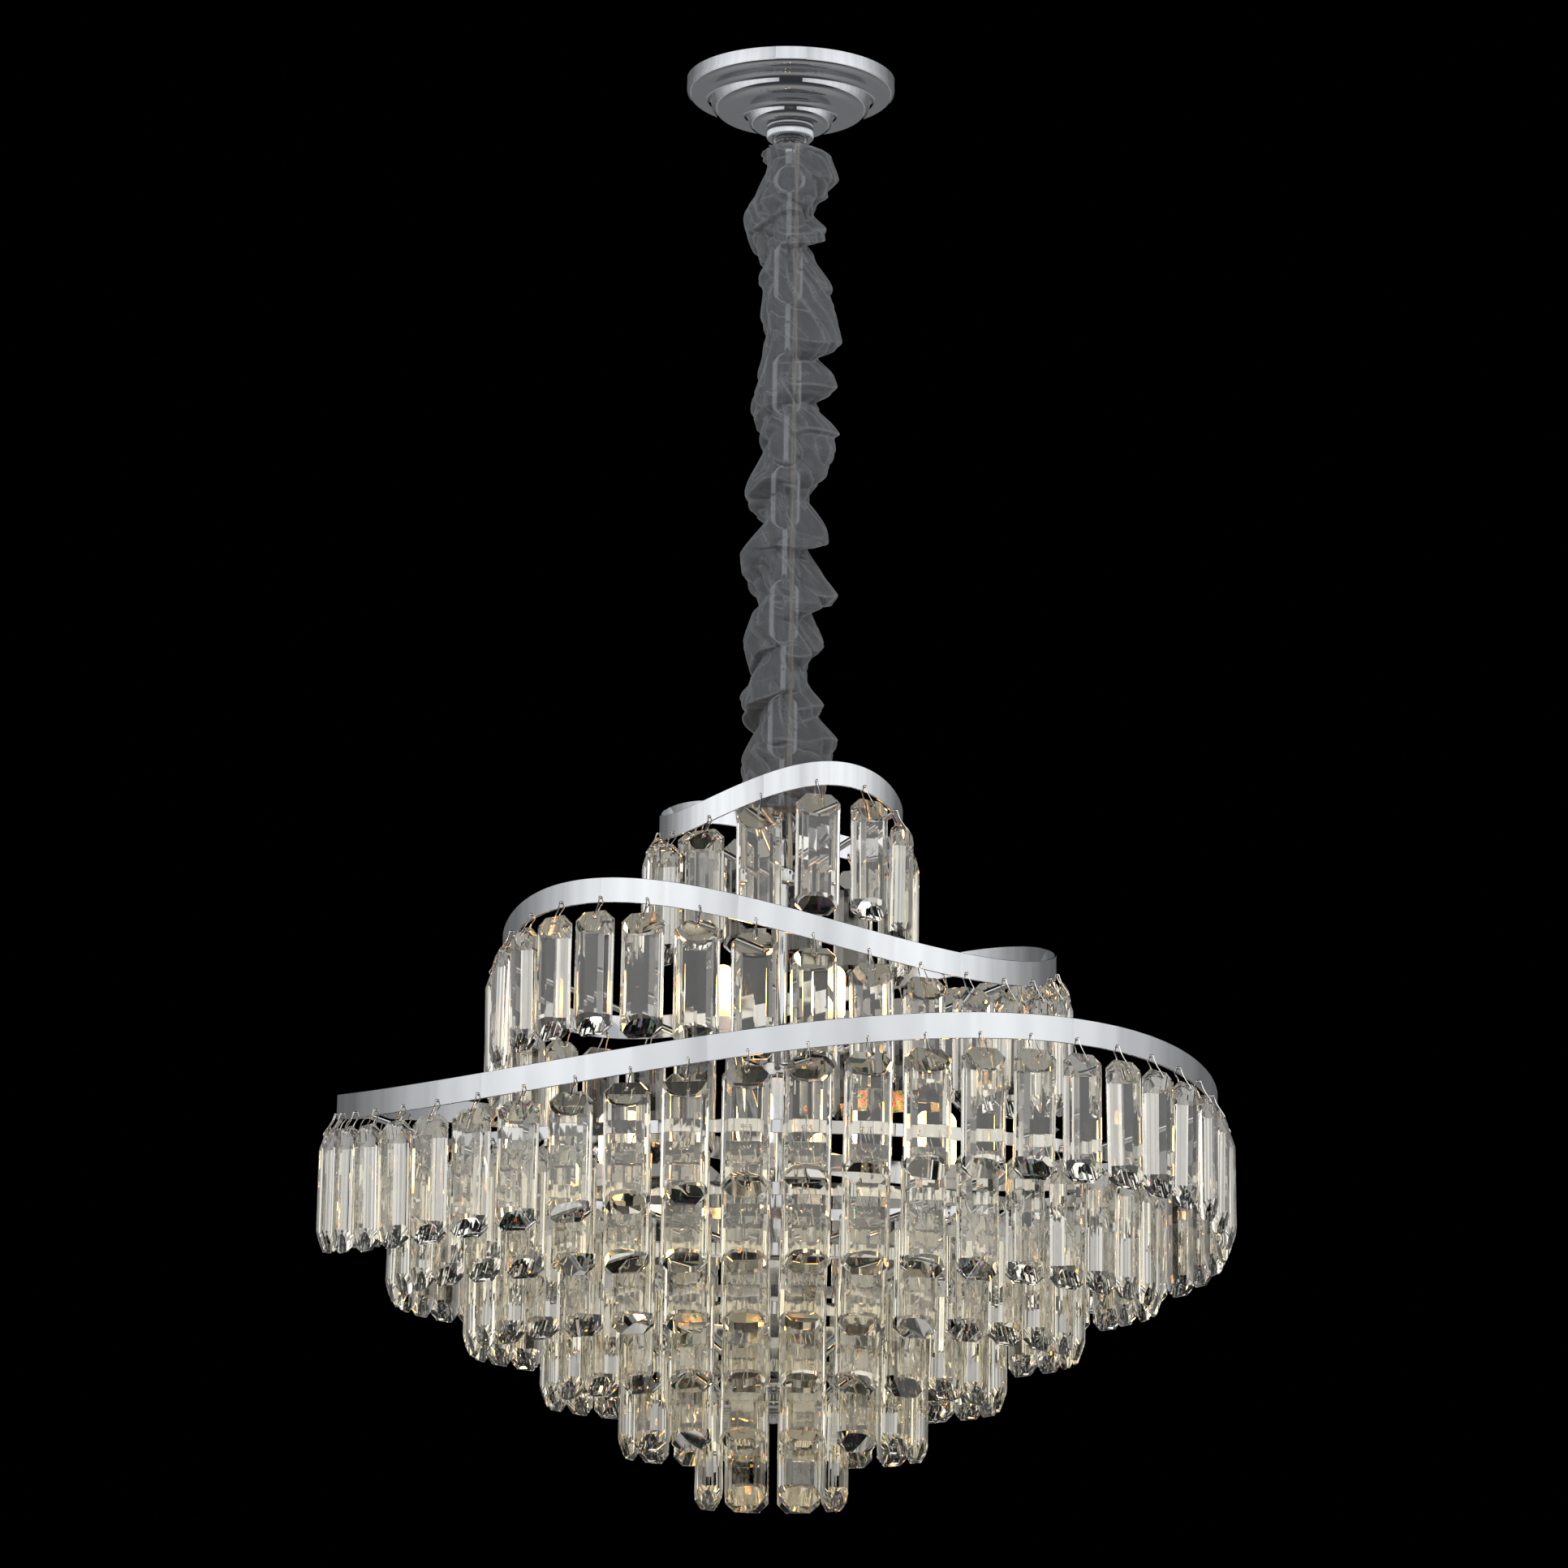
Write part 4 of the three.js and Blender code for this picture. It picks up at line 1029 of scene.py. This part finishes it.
def crystal_template():
    """Points and faces of one finished glass bar, and the numbers of its end facets."""
    bar = new_object("crystal_template", crystal_mesh())
    bevel = bar.modifiers.new("edges", "BEVEL")
    bevel.width = CRYSTAL_CHAMFER
    bevel.segments = 1
    bevel.limit_method = "ANGLE"
    bevel.angle_limit = math.radians(10)
    thickness = 2 * CRYSTAL_HALF_SECTION[-1][1]
    height = CRYSTAL_LENGTH / 2 - CRYSTAL_HOLE_DEPTH
    route = [(0, -thickness, height), (0, thickness, height)]
    points, faces = tube(route, CRYSTAL_HOLE_RADIUS, CRYSTAL_DRILL_SIDES)
    drill_mesh = bpy.data.meshes.new("cutter")
    drill_mesh.from_pydata(points, [], faces)
    drill = new_object("cutter", drill_mesh)
    cut = bar.modifiers.new("cut", "BOOLEAN")
    cut.operation = "DIFFERENCE"
    cut.object = drill
    cut.solver = "EXACT"
    bpy.context.view_layer.update()
    final = bar.evaluated_get(bpy.context.evaluated_depsgraph_get()).to_mesh()
    points = [tuple(vertex.co) for vertex in final.vertices]
    faces = [list(face.vertices) for face in final.polygons]
    ends = [index for index, face in enumerate(final.polygons) if face.area > CRYSTAL_LEAST_END_AREA
            and 0.2 < abs(face.normal.z) < 0.6 and abs(face.normal.y) > 0.6]
    bpy.data.objects.remove(bar)
    bpy.data.objects.remove(drill)
    return (points, faces), ends


def hook_template():
    """Bent wire through a band's hole and a crystal's, about the middle of the band's lower edge:
    X across, Y inwards, Z up."""
    out, hole = -CRYSTAL_STAND_OUT, -CRYSTAL_DROP - CRYSTAL_HOLE_DEPTH
    behind = BAND_THICKNESS / 2 + 1
    route = [
        (0, -behind - 0.4, HOOK_HOLE_RISE + 0.2),
        (0.9, -behind - 2.4, -2),
        (1.5, out - 3.2, hole + 2.2),
        (1.3, out - 3.6, hole + 0.4),
        (0.6, out - 2.8, hole - 0.25),
        (0, out, hole + 0.1),
        (-0.6, out + 2.8, hole - 0.25),
        (-1.3, out + 3.4, hole + 0.6),
        (-1.5, out + 3.6, hole + 3),
        (-1, -0.6, -3.4),
        (-0.4, behind, 0),
        (0, behind, HOOK_HOLE_RISE - 0.6),
        (0, 0, HOOK_HOLE_RISE),
        (0, -behind, HOOK_HOLE_RISE),
    ]
    form = Form().add(*tube(smooth_path(route, 3), HOOK_WIRE, 6))
    form.add(*ball(HOOK_HEAD), Matrix.Translation((0, -BAND_THICKNESS / 2 - 0.7, HOOK_HOLE_RISE)))
    return form


def paint_ends(mesh, rainbow, faces_each, ends):
    """Gives the end facets of every glass bar in a mesh their own material."""
    mesh.materials.append(rainbow)
    for start in range(0, len(mesh.polygons), faces_each):
        for face in ends:
            mesh.polygons[start + face].material_index = 1


def add_row(names, replaced, ring, kit, swinging=()):
    """A band or ring with its crystals and their hooks, from a kit of shapes and materials."""
    strip_name, name = names
    radius, height, edge_at, angles = ring
    (template, ends), hook, (chrome, glass, rainbow, wire) = kit
    add_piece(strip_name, strip(radius, height, edge_at, angles), chrome, "frame", [replaced[0]])
    hooks, row = Form(), Form()
    pivot = -CRYSTAL_DROP - CRYSTAL_HOLE_DEPTH
    hang = Matrix.Translation((0, 0, CRYSTAL_HOLE_DEPTH - CRYSTAL_LENGTH / 2))
    for index, angle in enumerate(angles):
        place = Matrix.Rotation(angle, 4, "Z") @ Matrix.Translation((0, -radius, edge_at(angle)))
        hooks.add(hook.points, hook.faces, place)
        hung = place @ Matrix.Translation((0, -CRYSTAL_STAND_OUT, pivot))
        for axis, spread in (("Z", YAW_SPREAD), ("Y", LEAN_SPREAD), ("X", TILT_SPREAD)):
            hung = hung @ Matrix.Rotation(math.radians(random.gauss(0, spread)), 4, axis)
        if swinging:
            body, node = swinging[index]
            single = Form().add(*template, hung @ hang)
            bar = add_piece(f"glass_bar_{index + 1}", single, glass, body, [node], 5)
            paint_ends(bar.data, rainbow, len(template[1]), ends)
        else:
            row.add(*template, hung @ hang)
    if not swinging:
        bars = add_piece(name, row, glass, "frame", [replaced[1]], 5)
        paint_ends(bars.data, rainbow, len(template[1]), ends)
    add_piece(f"{name}_hooks", hooks, wire, "frame", [], 60)


def add_rows(materials):
    kit = (crystal_template(), hook_template(), materials)
    for name, band in BANDS.items():
        first = math.radians(band["first"])
        angles = [first + 2 * math.pi * index / band["count"] for index in range(band["count"])]
        ring = (band["radius"], BAND_HEIGHT, band_edge(band), angles)
        names = (f"wavy_band_{name}", f"crystals_{name}")
        add_row(names, (f"band_{name}", f"crystal_row_{name}"), ring, kit)
    for index, count in enumerate(CAGE_COUNTS):
        steps = len(CAGE_COUNTS) - 1 - index
        low = -CAGE_INNER_DEPTH + CAGE_STEP_UP * steps
        angles = [math.pi / count + 2 * math.pi * number / count for number in range(count)]
        swinging = []
        if steps == 0:
            swinging = [(f"crystal_{number}", f"lowest_crystal_{number}") for number in range(1, count + 1)]
        ring = (CAGE_INNER_RADIUS + CAGE_STEP_OUT * steps, CAGE_RING_HEIGHT, lambda _, low=low: low, angles)
        names = (f"level_ring_{index + 1}", f"crystals_cage_{index + 1}")
        add_row(names, (f"cage_ring_{index + 1}", f"crystal_row_cage_{index + 1}"), ring, kit, swinging)


# Frame inside

def box_of(node):
    low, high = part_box(node)
    return Vector(low) * METRE, Vector(high) * METRE


def hub(depth):
    bore = STEM_RADIUS + 0.3
    half = HUB_HEIGHT / 2
    return rounded([
        (bore, -depth - half, 0),
        (HUB_RADIUS, -depth - half, 1),
        (HUB_RADIUS, -depth + half, 1),
        (bore, -depth + half, 0),
    ], 3)


def add_spider(name, node, depth, rods, chrome, pads=(), pad_distance=0):
    form = Form().add(*turned(hub(depth), 48, closed=True))
    inner = (STEM_RADIUS + HUB_RADIUS) / 2
    for index, (angle, radius, height) in enumerate(rods):
        form.add(*tube([polar(angle, inner, -depth), polar(angle, radius, height)], ROD_RADIUS, 14))
        if index in pads:
            slope = math.atan2(height + depth, radius - inner)
            bottom = -depth + (pad_distance - inner) * math.tan(slope)
            top = bottom + HOLDER_RADIUS * math.tan(slope) + ROD_RADIUS / math.cos(slope)
            corners = [(0.01, bottom, 0), (PAD_RADIUS, bottom, 0.6), (PAD_RADIUS, top, 0.6), (0.01, top, 0)]
            seat = rounded(corners, 3)
            form.add(*turned(seat, 32), Matrix.Translation(polar(angle, pad_distance, 0)))
    add_piece(name, form, chrome, "frame", [node])


def band_rods(band):
    height = -band["depth"] - BAND_HEIGHT / 2
    radius = band["radius"] - BAND_THICKNESS / 2 - 0.3
    return [(math.radians(band["crest"] + 45 + 90 * quarter), radius, height) for quarter in range(4)]


def add_frame(chrome):
    bore = STEM_RADIUS - STEM_WALL
    outline = [(bore, STEM_BOTTOM), (STEM_RADIUS, STEM_BOTTOM), (STEM_RADIUS, STEM_TOP), (bore, STEM_TOP)]
    form = Form().add(*turned(outline, 40, closed=True))
    add_piece("stem", form, chrome, "frame", ["stem_tube"])
    spiders = [
        ("upper_arms", "upper_spider", "top", (), 0),
        ("middle_arms", "middle_spider", "middle", (1, 3), UPPER_LAMP_RADIUS),
        ("lower_arms", "lower_spider", "bottom", (0, 1, 2, 3), LOWER_LAMP_RADIUS),
    ]
    for name, node, band, pads, pad_distance in spiders:
        add_spider(name, node, HUB_DEPTHS[band], band_rods(BANDS[band]), chrome, pads, pad_distance)
    low, high = box_of("cage_spider")
    reach = low.x * -math.sqrt(2)
    depth = -low.z - HUB_HEIGHT / 2
    rods = [(math.radians(45 + 90 * quarter), reach - 1.5, high.z - ROD_RADIUS) for quarter in range(4)]
    add_spider("cage_arms", "cage_spider", depth, rods, chrome)
    finial_low, finial_high = box_of("stem_finial")
    top, radius = finial_high.z, finial_high.x
    drop = finial_high.z - finial_low.z
    outline = rounded([
        (0.01, top - drop, 0),
        (radius * 0.4, top - drop * 0.97, 1.5),
        (radius * 0.72, top - drop * 0.62, 2),
        (radius * 0.55, top - drop * 0.46, 1),
        (radius, top - drop * 0.3, 2.5),
        (radius * 0.95, top, 0.8),
        (0.01, top, 0),
    ])
    add_piece("finial", Form().add(*turned(outline, 48)), chrome, "frame", ["stem_finial"])


def holder_outline():
    bottom = HOLDER_HEIGHT - HOLDER_BORE_DEPTH
    return rounded([
        (0.01, 0, 0),
        (HOLDER_RADIUS, 0, 1),
        (HOLDER_RADIUS, 5, 0.5),
        (HOLDER_RADIUS - HOLDER_GROOVE, 5.6, 0.4),
        (HOLDER_RADIUS - HOLDER_GROOVE, 7.4, 0.4),
        (HOLDER_RADIUS, 8, 0.5),
        (HOLDER_RADIUS, HOLDER_HEIGHT, 1.2),
        (6.8, HOLDER_HEIGHT, 0.6),
        (6.6, bottom, 0.2),
        (0.01, bottom, 0),
    ], 3)


def bulb_outline():
    base = HOLDER_HEIGHT - HOLDER_BORE_DEPTH + 0.3
    tip = HOLDER_HEIGHT + BULB_HEIGHT
    return rounded([
        (0.01, base, 0),
        (BULB_FOOT, base, 0.5),
        (BULB_FOOT, HOLDER_HEIGHT + 0.5, 0.5),
        (BULB_RADIUS, HOLDER_HEIGHT + 4, 2),
        (BULB_RADIUS, tip - 5, 5),
        (3.5, tip - 0.4, 2),
        (0.01, tip, 0),
    ], 5)


def coil_path():
    path = []
    for step in range(COIL_STEPS + 1):
        angle = 2 * math.pi * COIL_TURNS * step / COIL_STEPS
        rise = HOLDER_HEIGHT + COIL_MARGIN + (BULB_HEIGHT - 2 * COIL_MARGIN) * step / COIL_STEPS
        path.append((COIL_RADIUS * math.cos(angle), COIL_RADIUS * math.sin(angle), rise))
    return path


def add_lamps(ceramic, glass, core):
    for number in range(1, LAMP_COUNT + 1):
        low, high = box_of(f"lampholder_{number}")
        place = Matrix.Translation(((low.x + high.x) / 2, (low.y + high.y) / 2, low.z))
        holder = Form().add(*turned(holder_outline(), 48), place)
        bulb = Form().add(*turned(bulb_outline(), 32), place)
        coil = Form().add(*tube(coil_path(), COIL_WIRE, 8), place)
        add_piece(f"holder_{number}", holder, ceramic, "frame", [f"lampholder_{number}"])
        add_piece(f"capsule_{number}", bulb, glass, "frame", [f"bulb_{number}"], 60)
        add_piece(f"filament_{number}", coil, core, "frame", [], 80)


# The object

random.seed(7)
add_camera()
set_world()
add_lights()
add_floor()
scene = bpy.context.scene
scene.view_settings.view_transform = "Standard"
scene.cycles.max_bounces = 28
scene.cycles.transmission_bounces = 28
scene.cycles.glossy_bounces = 8
scene.cycles.transparent_max_bounces = 24

chrome = chrome_material()
add_canopy(chrome)
add_collar(chrome)
add_loops(chrome)
add_chain(chrome)
add_flex(flex_material(), insulation_material())
add_sleeve(organza_material())
add_rows((band_material(), glass_material(), rainbow_glass_material(), wire_material()))
add_frame(chrome)
add_lamps(ceramic_material(), lamp_glass_material(), filament_material())

for node, material in (("ceiling_plate", steel_material()), ("terminal_block", plastic_material())):
    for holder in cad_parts[node].material_slots:
        holder.material = material
